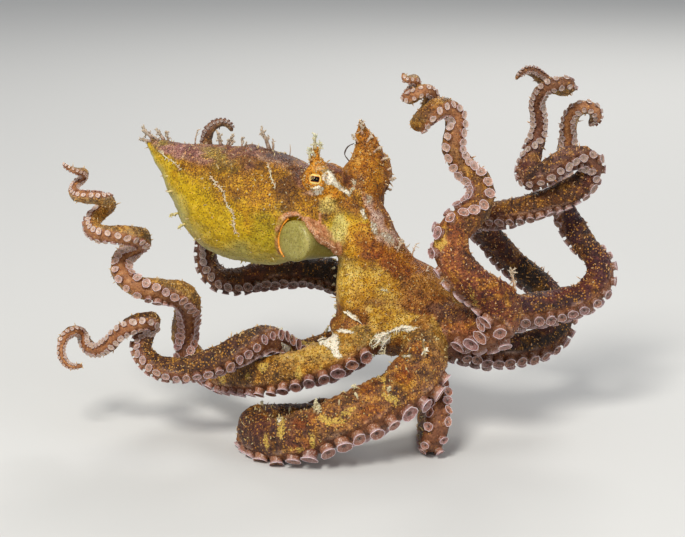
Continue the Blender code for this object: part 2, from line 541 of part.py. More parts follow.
def section_loft(name, sections, sides, kind):
    """A closed body through cross-sections that each have a half height and a half width, or one radius."""
    centres = np.array([s[:3] for s in sections], float)
    tangents = np.gradient(centres, axis=0)
    rings = []
    for (x, y, z, *sizes), tangent in zip(sections, tangents):
        tangent = unit(tangent)
        side = unit(np.cross(tangent, RIGHT if abs(tangent[2]) > NEARLY_UPRIGHT else DOWN))
        height, width = sizes[0], sizes[-1]
        rings.append(ring_points(np.array((x, y, z)), np.cross(side, tangent), side, height, width, sides))
    return face_out(mesh_object(name, *skinned(rings), kind))


def sphere(name, centre, radius, kind):
    made = []
    for k in range(1, BALL_RINGS):
        polar = math.pi * k / BALL_RINGS
        level = np.array(centre) + np.array((0, 0, radius * math.cos(polar)))
        across = radius * math.sin(polar)
        made.append(ring_points(level, np.array(RIGHT), np.array(FAR), across, across, BALL_SIDES))
    return face_out(mesh_object(name, *skinned(made), kind))


def boolean(target, operation, others):
    """Joins or cuts with other closed objects, and removes them."""
    group = bpy.data.collections.new("operands")
    for other in others:
        for old in list(other.users_collection):
            old.objects.unlink(other)
        group.objects.link(other)
    modifier = target.modifiers.new("boolean", "BOOLEAN")
    modifier.operation = operation
    modifier.operand_type = "COLLECTION"
    modifier.collection = group
    modifier.solver = "EXACT"
    modifier.use_self = True
    bpy.context.view_layer.update()
    graph = bpy.context.evaluated_depsgraph_get()
    result = bpy.data.meshes.new_from_object(target.evaluated_get(graph))
    target.modifiers.clear()
    target.data = result
    for other in others:
        bpy.data.objects.remove(other)
    bpy.data.collections.remove(group)
    return keep_largest(target)


def keep_largest(made):
    """Keeps the largest closed surface of a mesh."""
    work = bmesh.new()
    work.from_mesh(made.data)
    bmesh.ops.triangulate(work, faces=work.faces)
    left = set(work.faces)
    shells = []
    while left:
        shell, edge = set(), [left.pop()]
        while edge:
            face = edge.pop()
            shell.add(face)
            near = {f for e in face.edges if len(e.link_faces) == 2 for f in e.link_faces} & left
            left -= near
            edge.extend(near)
        shells.append(shell)
    if len(shells) > 1:
        shells.sort(key=lambda shell: sum(f.calc_area() for f in shell))
        for shell in shells[:-1]:
            bmesh.ops.delete(work, geom=list(shell), context="FACES")
    work.to_mesh(made.data)
    work.free()
    return made


def cut_by_plane(made, point, normal):
    """Removes what lies beyond a plane, and closes the cut."""
    work = bmesh.new()
    work.from_mesh(made.data)
    where = (Vector(point) - Vector(CENTRE_SHIFT)) * MM
    everything = work.verts[:] + work.edges[:] + work.faces[:]
    cut = bmesh.ops.bisect_plane(
        work, geom=everything, plane_co=where, plane_no=Vector(normal), clear_outer=True, dist=ON_PLANE
    )
    rim = [e for e in cut["geom_cut"] if isinstance(e, bmesh.types.BMEdge)]
    bmesh.ops.holes_fill(work, edges=rim, sides=0)
    work.to_mesh(made.data)
    work.free()
    return keep_largest(face_out(made))


def copied(made, name):
    """A second object with its own copy of the mesh."""
    twin = bpy.data.objects.new(name, made.data.copy())
    bpy.context.scene.collection.objects.link(twin)
    return twin


def parted(made, near_name, far_name, point, normal):
    """Parts a body by a thin cut across a plane, and returns the piece before it and the piece beyond it."""
    normal = unit(normal)
    beyond = copied(made, far_name)
    made.name = near_name
    cut_by_plane(made, np.array(point) - normal * GAP / 2, normal)
    cut_by_plane(beyond, np.array(point) + normal * GAP / 2, -normal)
    return made, beyond


def paint(made, kind):
    made.data.materials.clear()
    made.data.materials.append(material_for(kind))
    made.data.shade_smooth()
    made.data.set_sharp_from_angle(angle=SHARP_ANGLE)


def build_body(arms):
    """Mantle, head and arm crown, modelled whole with the arms' roots and parted by thin cuts."""
    whole = section_loft("mantle", MANTLE_SECTIONS, MANTLE_SIDES, "mantle")
    pieces = [section_loft("head_form", HEAD_SECTIONS, HEAD_SIDES, "head")]
    pieces.append(section_loft("web_form", WEB_SECTIONS, TURRET_SIDES, "crown"))
    for sections in [*TURRETS.values(), *HORNS.values()]:
        pieces.append(section_loft("turret_form", sections, TURRET_SIDES, "head"))
    for root in MANTLE_PAPILLAE + HEAD_PAPILLAE + CROWN_PAPILLAE:
        pieces.append(papilla(*root))
    for arm in arms:
        pieces.append(arm_length(arm, "root_form", 0.0, arm.root - GAP / 2))
    boolean(whole, "UNION", pieces)
    sockets = [
        sphere("socket", EYE_CENTRES[name], EYE_RADIUS + GAP, "head") for name in EYE_CENTRES
    ]
    bed = [(*SIPHON_BED_ROOT, SIPHON_SECTIONS[0][3]), *SIPHON_SECTIONS]
    sockets.append(section_loft("siphon_bed", widened(bed, GAP), SIPHON_SIDES, "mantle"))
    boolean(whole, "DIFFERENCE", sockets)
    mantle, rest = parted(whole, "mantle", "head", NECK_POINT, NECK_NORMAL)
    head, crown = parted(rest, "head", "arm_crown_right", CROWN_POINT, CROWN_NORMAL)
    right, left = parted(crown, "arm_crown_right", "arm_crown_left", CROWN_PARTING, CROWN_ACROSS)
    paint(mantle, "mantle")
    paint(head, "head")
    paint(right, "crown")
    paint(left, "crown")


def widened(sections, by):
    return [(*s[:3], *[size + by for size in s[3:]]) for s in sections]


def build_eyes():
    for name, centre in EYE_CENTRES.items():
        ball = sphere(name, centre, EYE_RADIUS, "eye")
        paint(ball, "eye")


def build_siphon():
    tube = section_loft("siphon", SIPHON_SECTIONS, SIPHON_SIDES, "siphon")
    paint(tube, "siphon")


def lying_on_floor(made):
    """Cuts a node that dips below the floor flat at floor level."""
    lowest = min(v.co.z for v in made.data.vertices)
    if lowest < 0:
        cut_by_plane(made, (0.0, 0.0, 0.0), DOWN)


def build_arm(arm, arms):
    """The lengths of one arm, each with its suckers and papillae fused on."""
    ends = [arm.root] + [cut * arm.length for cut in arm.cuts] + [arm.length]
    for k in range(len(ends) - 1):
        start = ends[k] + GAP / 2
        end = ends[k + 1] - (GAP / 2 if k < len(ends) - 2 else 0)
        made = arm_length(arm, f"{arm.name}_{k + 1}", start, end)
        pieces = [sucker(arm, s, row) for s, row in sucker_places(arm, start, end, arms)]
        pieces += arm_papillae(arm, start, end, arms)
        boolean(made, "UNION", pieces)
        lying_on_floor(made)
        paint(made, "arm")


def main():
    clear_scene()
    arms = [Arm(name) for name in ARM_ROUTES]
    build_body(arms)
    build_eyes()
    build_siphon()
    for arm in arms:
        build_arm(arm, arms)


main()
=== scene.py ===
# Looks of the algae octopus: one skin over the body and arms, with suckers, papillae, eyes and siphon.
# Lengths are in millimetres until a mesh is made. +X is the viewer's right, +Y is away, +Z is up.
import math

import bmesh
import bpy
import numpy as np
from mathutils import Matrix, Vector
from mathutils.bvhtree import BVHTree


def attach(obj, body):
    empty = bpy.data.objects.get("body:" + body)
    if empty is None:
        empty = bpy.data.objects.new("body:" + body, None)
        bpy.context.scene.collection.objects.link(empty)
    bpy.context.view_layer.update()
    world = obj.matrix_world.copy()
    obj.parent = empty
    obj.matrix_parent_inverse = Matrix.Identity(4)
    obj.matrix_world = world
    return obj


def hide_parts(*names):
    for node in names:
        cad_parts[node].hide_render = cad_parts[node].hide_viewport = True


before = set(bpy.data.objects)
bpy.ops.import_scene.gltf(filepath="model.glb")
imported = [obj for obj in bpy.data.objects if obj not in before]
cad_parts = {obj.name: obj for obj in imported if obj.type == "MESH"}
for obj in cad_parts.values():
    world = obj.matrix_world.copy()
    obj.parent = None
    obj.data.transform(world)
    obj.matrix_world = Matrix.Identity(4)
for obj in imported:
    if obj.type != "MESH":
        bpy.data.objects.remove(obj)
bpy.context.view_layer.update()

MM = 0.001
SHIFT = np.array([0.63, 3.96, 0.0])
rng = np.random.default_rng(11)

# Directions that the suckers of an arm can face
DOWN = (0.0, 0.0, -1.0)
NEAR = (0.0, -1.0, 0.0)
FAR = (0.0, 1.0, 0.0)
LEFT = (-1.0, 0.0, 0.0)
RIGHT = (1.0, 0.0, 0.0)
DOWN_NEAR = (0.0, -0.45, -0.9)
UP_NEAR = (0.0, -0.7, 0.7)
NEAR_RIGHT = (0.5, -0.85, 0.0)
NEAR_LEFT = (-0.5, -0.85, 0.0)
FAR_LEFT = (-0.7, 0.7, 0.0)
FAR_DOWN = (0.2, 0.6, -0.8)
DOWN_RIGHT = (0.7, -0.3, -0.65)

# A way that no form starts along, from which a first direction across it is found
ANY_WAY = (0.3, 0.5, 0.8)

# Arms: the route of each one's axis, with the way its suckers face where that changes
ARM_ROUTES = {
    "arm_r1": [
        (18, -4, 30, DOWN_NEAR), (25, -9.5, 30), (31.5, -14.5, 30, DOWN_NEAR), (37, -18.5, 32, NEAR_RIGHT),
        (38, -21.5, 36.5), (34, -23, 41.5, FAR_LEFT), (28.5, -23, 45.5, FAR_LEFT), (25.3, -22, 50.5),
        (25.8, -20, 55, LEFT), (29.5, -18, 58), (32.8, -16.3, 61.8, NEAR_LEFT), (32.3, -14.6, 66.2),
        (28.8, -13.8, 69.2, NEAR), (26.2, -14, 73), (26.2, -14, 77.5), (26.6, -13.2, 81, NEAR),
        (24.2, -14.8, 83.8), (20.8, -17.6, 83.4, NEAR), (18.2, -17.2, 80.6), (17.8, -13.2, 80, NEAR),
        (20.2, -10.2, 82.6), (21, -10.8, 86.2, NEAR), (18.6, -14.4, 87.6), (15.6, -14.6, 85.4, NEAR),
        (15.2, -11.6, 85.8), (17.4, -10.6, 88.6, NEAR), (16.8, -13, 90.4), (14.4, -13.4, 89.6, NEAR),
        (14.2, -12.6, 91.6),
    ],
    "arm_r2": [
        (18, -5, 29, DOWN_NEAR), (20, -13.5, 25.5), (17, -21.8, 20), (9.5, -26.5, 15.2, DOWN_NEAR),
        (0.5, -28.3, 11.6), (-8, -28, 8.2, DOWN), (-14.8, -25.6, 5.8), (-19.8, -19.8, 4.9, DOWN),
        (-21.8, -12.5, 4.4), (-18.2, -5.5, 3.6), (-11, -1.5, 2.8, DOWN), (-4.5, 3, 2.2), (-1, 9, 1.6),
        (-3.5, 14.5, 1.2, DOWN), (-9, 15, 0.9),
    ],
    "arm_r3": [
        (17, -2, 27, NEAR), (20.3, -7, 20.3), (22.8, -13.5, 14.8, NEAR), (23, -19.8, 10.2),
        (22.2, -23, 6.8, NEAR), (21.6, -21.8, 4.2), (21.3, -17, 3, DOWN), (21.2, -9.5, 2.6),
        (21.3, -1, 2.4, DOWN), (21.8, 6.5, 2.2), (20.5, 14.5, 1.9, DOWN), (16.5, 21, 1.6),
        (10.5, 24.5, 1.3, DOWN), (4.5, 23, 1.1), (4, 18.5, 0.9, DOWN), (7, 17.5, 0.7),
    ],
    "arm_r4": [
        (15, -4, 29, DOWN_NEAR), (6.5, -8.5, 26.5), (-1, -11, 22.5, DOWN_NEAR), (-10, -11, 19),
        (-19, -8, 16.3, DOWN), (-26.5, -1.5, 14), (-33, 5.5, 13, DOWN), (-38.5, 10.5, 15),
        (-41, 12, 20, NEAR_RIGHT), (-40, 9.5, 26, NEAR_RIGHT), (-38.5, 5, 31), (-40.5, 0, 35, DOWN),
        (-45, -2.5, 36.5), (-50, -3.5, 37.5), (-54, -1.5, 39.5, DOWN_RIGHT), (-55.2, 3, 42.3),
        (-52.6, 5.2, 45.6, NEAR_RIGHT), (-49.4, 1.3, 48.4), (-51.2, -4.3, 50.8, DOWN_NEAR), (-56, -6, 51.5),
        (-60.2, -3.5, 51.3, NEAR), (-61.8, 1, 53), (-59.6, 4.5, 55), (-57.2, 2, 57.3, UP_NEAR),
        (-58.4, -2.5, 59.4), (-61.8, -4.5, 60.2, UP_NEAR), (-65.2, -2, 60.2), (-65.8, 2, 61.8),
        (-63.4, 3.2, 64, NEAR), (-63.4, 0, 65.7), (-66, -2, 66.7, NEAR), (-68.2, -0.3, 67.9),
    ],
    "arm_l4": [
        (14, 1, 27.5, DOWN), (5.5, 6.5, 22), (-3, 8, 18.5, DOWN), (-10.5, 4.5, 17.8),
        (-15.5, 0, 21.8, NEAR_RIGHT), (-19.3, -5.5, 25, NEAR_RIGHT), (-24.5, -11, 24.3),
        (-30.5, -15, 22, DOWN_NEAR), (-36.5, -16, 20.5), (-42.5, -15, 20, DOWN_NEAR), (-47.5, -12, 21.6),
        (-49.5, -7.5, 23.6, NEAR_LEFT), (-48, -4.2, 26.6), (-46.5, -6, 29.6, NEAR), (-49.5, -9.2, 30.4),
        (-53.6, -10.2, 28.2, NEAR_LEFT), (-56.8, -9, 24.6), (-60, -6, 22, NEAR_LEFT), (-63.2, -2.2, 21.8),
        (-64.8, 0.3, 24, NEAR), (-66.5, -2.2, 26.2), (-69, -5.5, 24.8, NEAR), (-69.2, -7.5, 21),
        (-66.8, -8.2, 18.2, NEAR_RIGHT), (-63.8, -8.2, 18.8),
    ],
    "arm_l3": [
        (16, 3, 28, DOWN), (8.5, 11, 31), (1, 16, 34.6, DOWN), (-7, 19, 35.8),
        (-14.5, 20.5, 35.3, DOWN_NEAR), (-22.5, 21, 34), (-28.5, 21.5, 32.7, DOWN_NEAR), (-33, 22.5, 33.6),
        (-35.4, 24, 37.2, NEAR_LEFT), (-35.2, 24.8, 42.4), (-34.4, 25.2, 48, LEFT), (-34, 25.4, 54),
        (-34.4, 25.4, 60, LEFT), (-35, 25.4, 65.5), (-35.2, 25.4, 69.2, LEFT), (-34.2, 25.4, 72),
        (-32.2, 25.2, 73.6, UP_NEAR), (-30, 25, 73.9), (-28.4, 24.7, 72.8), (-28.2, 24.3, 71.2, RIGHT),
    ],
    "arm_l2": [
        (21, 1.5, 25.5, DOWN), (28, 4, 21.5, DOWN_NEAR), (36.5, 6, 19), (45, 7.5, 18.5, DOWN_NEAR),
        (52, 10, 20, DOWN_RIGHT), (56, 14, 24), (54.5, 17.5, 29, FAR), (49.5, 18.5, 34, FAR_LEFT),
        (43.5, 17, 39.5), (38, 14.5, 46, FAR_LEFT), (34.5, 10, 51, LEFT), (35, 4.5, 54),
        (39.5, 1, 55, DOWN_NEAR), (45, -1.5, 57), (51.5, -2.5, 59.5, DOWN), (56, -2.3, 61.6, FAR_DOWN),
        (59.4, -2.3, 64.4), (60.2, -3, 68, DOWN), (57.4, -4.5, 70.6), (53.2, -6.2, 69.8, DOWN_NEAR),
        (49.4, -6.8, 67), (46, -4.6, 64.8, DOWN_NEAR), (45, -0.2, 65.6), (46.6, 3.4, 69.2, LEFT),
        (48, 4.4, 73.6, NEAR), (48, 4.4, 78.2), (47.3, 3.2, 82.5, NEAR), (49, 0.3, 86.2),
        (52.5, -1.2, 87.6, NEAR), (55, 1.2, 86.2), (53.4, 4.8, 85), (49.8, 6.4, 86.6, UP_NEAR),
        (46.6, 4.2, 89.4), (43.6, 2, 90.2), (41.8, 1, 88, NEAR),
    ],
    "arm_l1": [
        (20, 1.5, 29.5, DOWN), (28, -0.5, 30), (36, -3, 30.8, DOWN_NEAR), (45.5, -4, 32),
        (54, -3.5, 33.2, DOWN_NEAR), (60.5, -3, 35.6, DOWN_RIGHT), (63.8, -1, 39.6, RIGHT),
        (62, 2, 44.8, FAR), (58.2, 5, 49.4, FAR_LEFT), (55.6, 7.5, 54, LEFT), (54.8, 9.5, 60),
        (55.6, 10.5, 66, NEAR), (56, 9.6, 72), (55.8, 7.5, 76.5, NEAR), (57.3, 5.2, 80.3),
        (60.5, 4.4, 81, UP_NEAR), (62.5, 6, 78.2), (61, 8.6, 76, NEAR),
    ],
}
# Radii at even steps from root to tip
ARM_RADII = {
    "arm_r1": (5.4, 5, 4.1, 3, 2, 1.1), "arm_r2": (6.3, 6.1, 5.6, 4.9, 3.4, 1.2),
    "arm_r3": (4, 3.5, 3, 2.6, 1.9, 0.9), "arm_r4": (5.2, 4.4, 3.5, 2.9, 2.1, 1),
    "arm_l4": (4.3, 3.9, 3.5, 2.5, 2.1, 1), "arm_l3": (4.4, 4.1, 3.6, 2.9, 2, 0.9),
    "arm_l2": (4.4, 3.8, 3.3, 3.1, 2.4, 1.2), "arm_l1": (5, 4.3, 3.7, 3.1, 2.6, 1.4),
}
ARM_WIDTH = 0.86
CURVE_STEPS = 16
ROUTE_STEP = 0.4
ROUTE_EASING = 1.3
TURN_EASING = 3.0
TOO_LENGTHWISE = 0.93
TIP_TAPER = 0.03
TIP_ROUNDING = 0.45

# The body's forms: centre, half height and half width, or one radius, of each cross-section
BODY_SECTIONS = {
    "mantle": [
        (-48.6, 14, 71, 1, 1), (-47, 13.4, 69.7, 2.2, 2), (-42.5, 11.8, 66.6, 4.8, 4.6),
        (-36, 9.8, 62.3, 9.9, 8.8), (-28.8, 7.9, 58, 14.2, 12.4), (-21.2, 5.4, 56.1, 14.6, 12.9),
        (-13.6, 3, 55.4, 13.3, 11.9), (-7.1, 1, 54.9, 10.5, 9.7), (0, 0, 56.2, 7.6, 7.4),
        (3, -0.5, 56.5, 4, 4),
    ],
    "head": [
        (-3, 1, 61, 3.5, 4), (0, 0.5, 58.5, 7, 7), (3.5, -0.5, 53.7, 7.7, 7.6), (6.8, -1.5, 46, 8.2, 8),
        (9.7, -2, 39.4, 10, 9.2), (13.2, -2, 33.7, 12.9, 10.8), (16.5, -2, 28.5, 13.6, 11),
        (19, -2, 23.5, 8.5, 7.5),
    ],
    "web": [
        (3.7, -2, 43.3, 4.9, 5.5), (3.8, -3, 37.5, 5.3, 7), (3.9, -4.5, 31.5, 5.4, 7),
        (3.6, -6.5, 26, 5.1, 6), (6.5, -7, 22.5, 3, 4),
    ],
    "turret_right": [
        (-3.5, -1, 61, 6.5), (-5.2, -4.2, 64.2, 5), (-6.4, -6.8, 65.2, 3.5), (-6.8, -8, 65.3, 2),
    ],
    "turret_left": [
        (3, 2, 58, 6.8), (6, 6.5, 63, 6), (8.4, 10.2, 65.3, 4.4), (9.8, 12.3, 65.6, 2.2),
    ],
    "horn_right": [
        (-5.6, -4.6, 66, 3.2), (-6.2, -5, 69, 1.7), (-6.4, -5.2, 71, 0.9), (-6.6, -5.2, 72.6, 0.5),
    ],
    "horn_left": [
        (6.4, 7.2, 66, 5.2), (6, 8, 70.5, 3.4), (5, 8.2, 74, 1.4), (4.4, 8.2, 77.5, 0.5),
    ],
}
NEARLY_UPRIGHT = 0.95

# Siphon: centre and radius of each cross-section, from its root to its flat end, and its tones: root, partly
# painted shade, then side, end, and the orange of the edge's painted glow
SIPHON_END = (
    (1.5, -1, 48.2, 2.8), (-3.5, -4.8, 48.8, 3.4), (-7.6, -8.4, 50, 4.2), (-10.2, -11, 50.9, 4.8),
    (-11.5, -12.3, 51.1, 4.95), (-11.9, -12.7, 51.15, 4.6), (-12.15, -12.95, 51.2, 3),
)
SIPHON_RIM = 4
SIPHON_TONES = ((112, 106, 44), (152, 142, 68), (170, 158, 84), (238, 150, 26))

# Eyes: the ball's radius and centre, the way that each looks, its tilt in degrees and half its pupil's bar
EYE_RADIUS = 2.5
EYE_CENTRES = {"eye_right": (-6.3, -6.2, 65.0), "eye_left": (8.8, 11.0, 65.4)}
EYE_LOOKS = {"eye_right": (-0.12, -0.97, 0.2), "eye_left": (0.42, 0.88, 0.2)}
EYE_TILTS = {"eye_right": -6.0, "eye_left": 0.0}
PUPIL = (0.72, 0.34)

# Eyelids: how far they open and reach, and the heights of the lid and of the fold round it
LID_OPENING = math.radians(36)
LID_REACH = 3.25
LID_HEIGHT = 0.34
FOLD_HEIGHT = 0.16

# The photograph: its size in pixels, the camera that saw it, and a pixel in the middle of the body
PICTURE = (685, 537)
CAMERA_PLACE = np.array([0.63, -413.3, 145.3])
CAMERA_TARGET = np.array([0.63, 3.96, 41.3])
FOCAL_PIXELS = 1738.0
BODY_PIXEL = (300.0, 250.0)

# Skin: how fine it is, and how much it is eased where forms join and elsewhere
VOXEL = 0.5
ARM_SIDES = 20
BODY_SIDES = 40
SECTION_STEP = 0.4
CHUNK = 20000
JOINT_ROUNDS = 12
JOINT_EASING = 0.55
JOINT_REACH = (0.6, 3.0)
ARM_EASING = 0.12
BODY_EASING = 0.5
FLOOR_LEVEL = 0.02
PATCH = 0.003
EYE_REFINED = (4.6, 3.6)

# Relief as shares of an arm's radius: the edge beside its suckers, wrinkles, lumps and its hollow oral side
EDGE_ANGLE = math.radians(66)
EDGE_HEIGHT = 0.09
WRINKLE_HEIGHT = 0.028
WRINKLE_GAP = 1.7
LUMP_HEIGHT = 0.07
ORAL_HOLLOW = 0.05

# Relief of the whole skin, and how near the eyes it fades away
GRAIN_RELIEF = 0.10
FOLD_RELIEF = 0.22
PIT_RELIEF = 0.12
TURRET_RELIEF = 0.42
BARE_ROUND_EYES = (3.0, 4.5)

# Colours as a screen shows them, 0 to 255: the dark, middle and bright tones of each place
TONES = {
    "mantle_belly": ((136, 128, 68), (182, 170, 98), (212, 204, 138)),
    "mantle_mid": ((126, 98, 28), (196, 160, 50), (228, 200, 98)),
    "mantle_side": ((78, 44, 14), (168, 114, 36), (214, 168, 80)),
    "mantle_ridge": ((66, 36, 42), (138, 90, 84), (200, 158, 138)),
    "mantle_tip": ((78, 62, 46), (118, 102, 74), (158, 152, 112)),
    "mantle_neck": ((58, 30, 12), (134, 82, 26), (196, 146, 62)),
    "head_orange": ((104, 52, 16), (200, 126, 44), (236, 188, 112)),
    "saddle": ((46, 20, 18), (92, 46, 36), (146, 96, 76)),
    "far_turret": ((68, 30, 12), (166, 96, 34), (220, 162, 88)),
    "column": ((94, 44, 14), (196, 132, 42), (238, 196, 102)),
    "column_low": ((112, 72, 26), (206, 162, 70), (238, 214, 138)),
    "crown_gold": ((116, 68, 28), (216, 170, 76), (246, 222, 150)),
    "crown_brown": ((56, 26, 15), (126, 72, 36), (200, 146, 86)),
    "brown": ((40, 22, 15), (96, 62, 38), (156, 114, 66)),
    "purple_brown": ((28, 15, 17), (76, 46, 41), (120, 82, 62)),
    "maroon": ((30, 9, 11), (76, 31, 29), (116, 62, 48)),
    "near_black": ((10, 5, 4), (32, 18, 12), (78, 54, 38)),
    "dapple": ((42, 21, 18), (116, 72, 50), (186, 138, 90)),
    "dusty_pink": ((38, 21, 20), (86, 55, 48), (134, 96, 80)),
    "sandy": ((92, 58, 28), (152, 112, 62), (204, 172, 116)),
    "grey_tip": ((92, 66, 50), (142, 116, 86), (184, 166, 134)),
    "oral": ((96, 54, 36), (156, 104, 74), (196, 148, 112)),
    "oral_dark": ((54, 28, 20), (100, 62, 46), (146, 102, 78)),
    "peach": ((178, 122, 70), (222, 176, 120), (240, 214, 176)),
    "pink": ((150, 104, 84), (206, 168, 148), (240, 220, 206)),
    "pale_yellow": ((168, 146, 74), (218, 204, 122), (236, 228, 166)),
    "lip": ((122, 70, 44), (192, 132, 94), (220, 176, 140)),
    "rust": ((66, 27, 14), (130, 64, 32), (176, 110, 60)),
    "wine": ((34, 9, 12), (84, 32, 28), (120, 64, 48)),
    "olive": ((76, 66, 26), (140, 122, 50), (188, 172, 92)),
    "green_gold": ((98, 84, 20), (172, 152, 50), (206, 192, 96)),
    "orange_gold": ((108, 58, 16), (190, 128, 38), (226, 178, 80)),
    "dark_brown": ((32, 17, 11), (82, 47, 26), (126, 82, 46)),
    "plum": ((22, 9, 13), (58, 27, 32), (98, 58, 54)),
    "dusk": ((24, 13, 12), (62, 36, 28), (108, 74, 50)),
    "ember": ((58, 25, 19), (130, 74, 50), (182, 118, 78)),
    "mauve": ((92, 52, 60), (164, 110, 108), (210, 170, 156)),
    "amber": ((102, 54, 20), (184, 120, 48), (236, 186, 100)),
}
# For each arm: the tones of its back from root to tip, as fractions of its length
ARM_TONES = {
    "arm_r1": [
        (0, "crown_brown"), (0.15, "ember"), (0.28, "maroon"), (0.36, "ember"), (0.5, "brown"),
        (0.8, "sandy"), (1, "grey_tip"),
    ],
    "arm_r2": [
        (0, "crown_gold"), (0.14, "dapple"), (0.38, "dapple"), (0.5, "purple_brown"), (1, "dusk"),
    ],
    "arm_r3": [
        (0, "crown_brown"), (0.3, "purple_brown"), (1, "sandy"),
    ],
    "arm_r4": [
        (0, "crown_gold"), (0.2, "brown"), (0.42, "brown"), (0.5, "sandy"), (1, "grey_tip"),
    ],
    "arm_l4": [
        (0, "crown_brown"), (0.2, "dusk"), (0.6, "dusk"), (0.8, "brown"), (1, "sandy"),
    ],
    "arm_l3": [
        (0, "near_black"), (0.3, "near_black"), (0.42, "dark_brown"), (0.6, "dark_brown"),
        (0.8, "crown_brown"), (1, "grey_tip"),
    ],
    # arm_l2's near_black stretch is painted shade: there it runs behind the nearer arms, in their shadow and
    # far from the light
    "arm_l2": [
        (0, "maroon"), (0.08, "near_black"), (0.38, "near_black"), (0.44, "dark_brown"),
        (0.55, "dark_brown"), (0.66, "dusty_pink"), (0.8, "dusty_pink"), (0.9, "sandy"), (1, "grey_tip"),
    ],
    "arm_l1": [
        (0, "crown_brown"), (0.15, "plum"), (0.72, "plum"), (0.85, "sandy"), (1, "grey_tip"),
    ],
}
# The back of each arm: how thickly gold flecks lie on it, the tone of its blotches and its share of ochre
ARM_BACKS = {
    "arm_r1": (0.4, "rust", 0.35), "arm_r2": (0.45, "rust", 0.3), "arm_r3": (0.35, "rust", 0.35),
    "arm_r4": (0.75, "amber", 0.35), "arm_l4": (0.7, "purple_brown", 0.15), "arm_l3": (0.12, "maroon", 0.0),
    "arm_l2": (0.4, "wine", 0.25), "arm_l1": (0.4, "wine", 0.2),
}
ORAL_ANGLES = (math.radians(48), math.radians(72))
# The column's middle at some heights: the heights, and how far right it lies there
COLUMN_MIDDLE = ((28, 40, 50, 58), (14.0, 9.0, 5.5, 2.0))
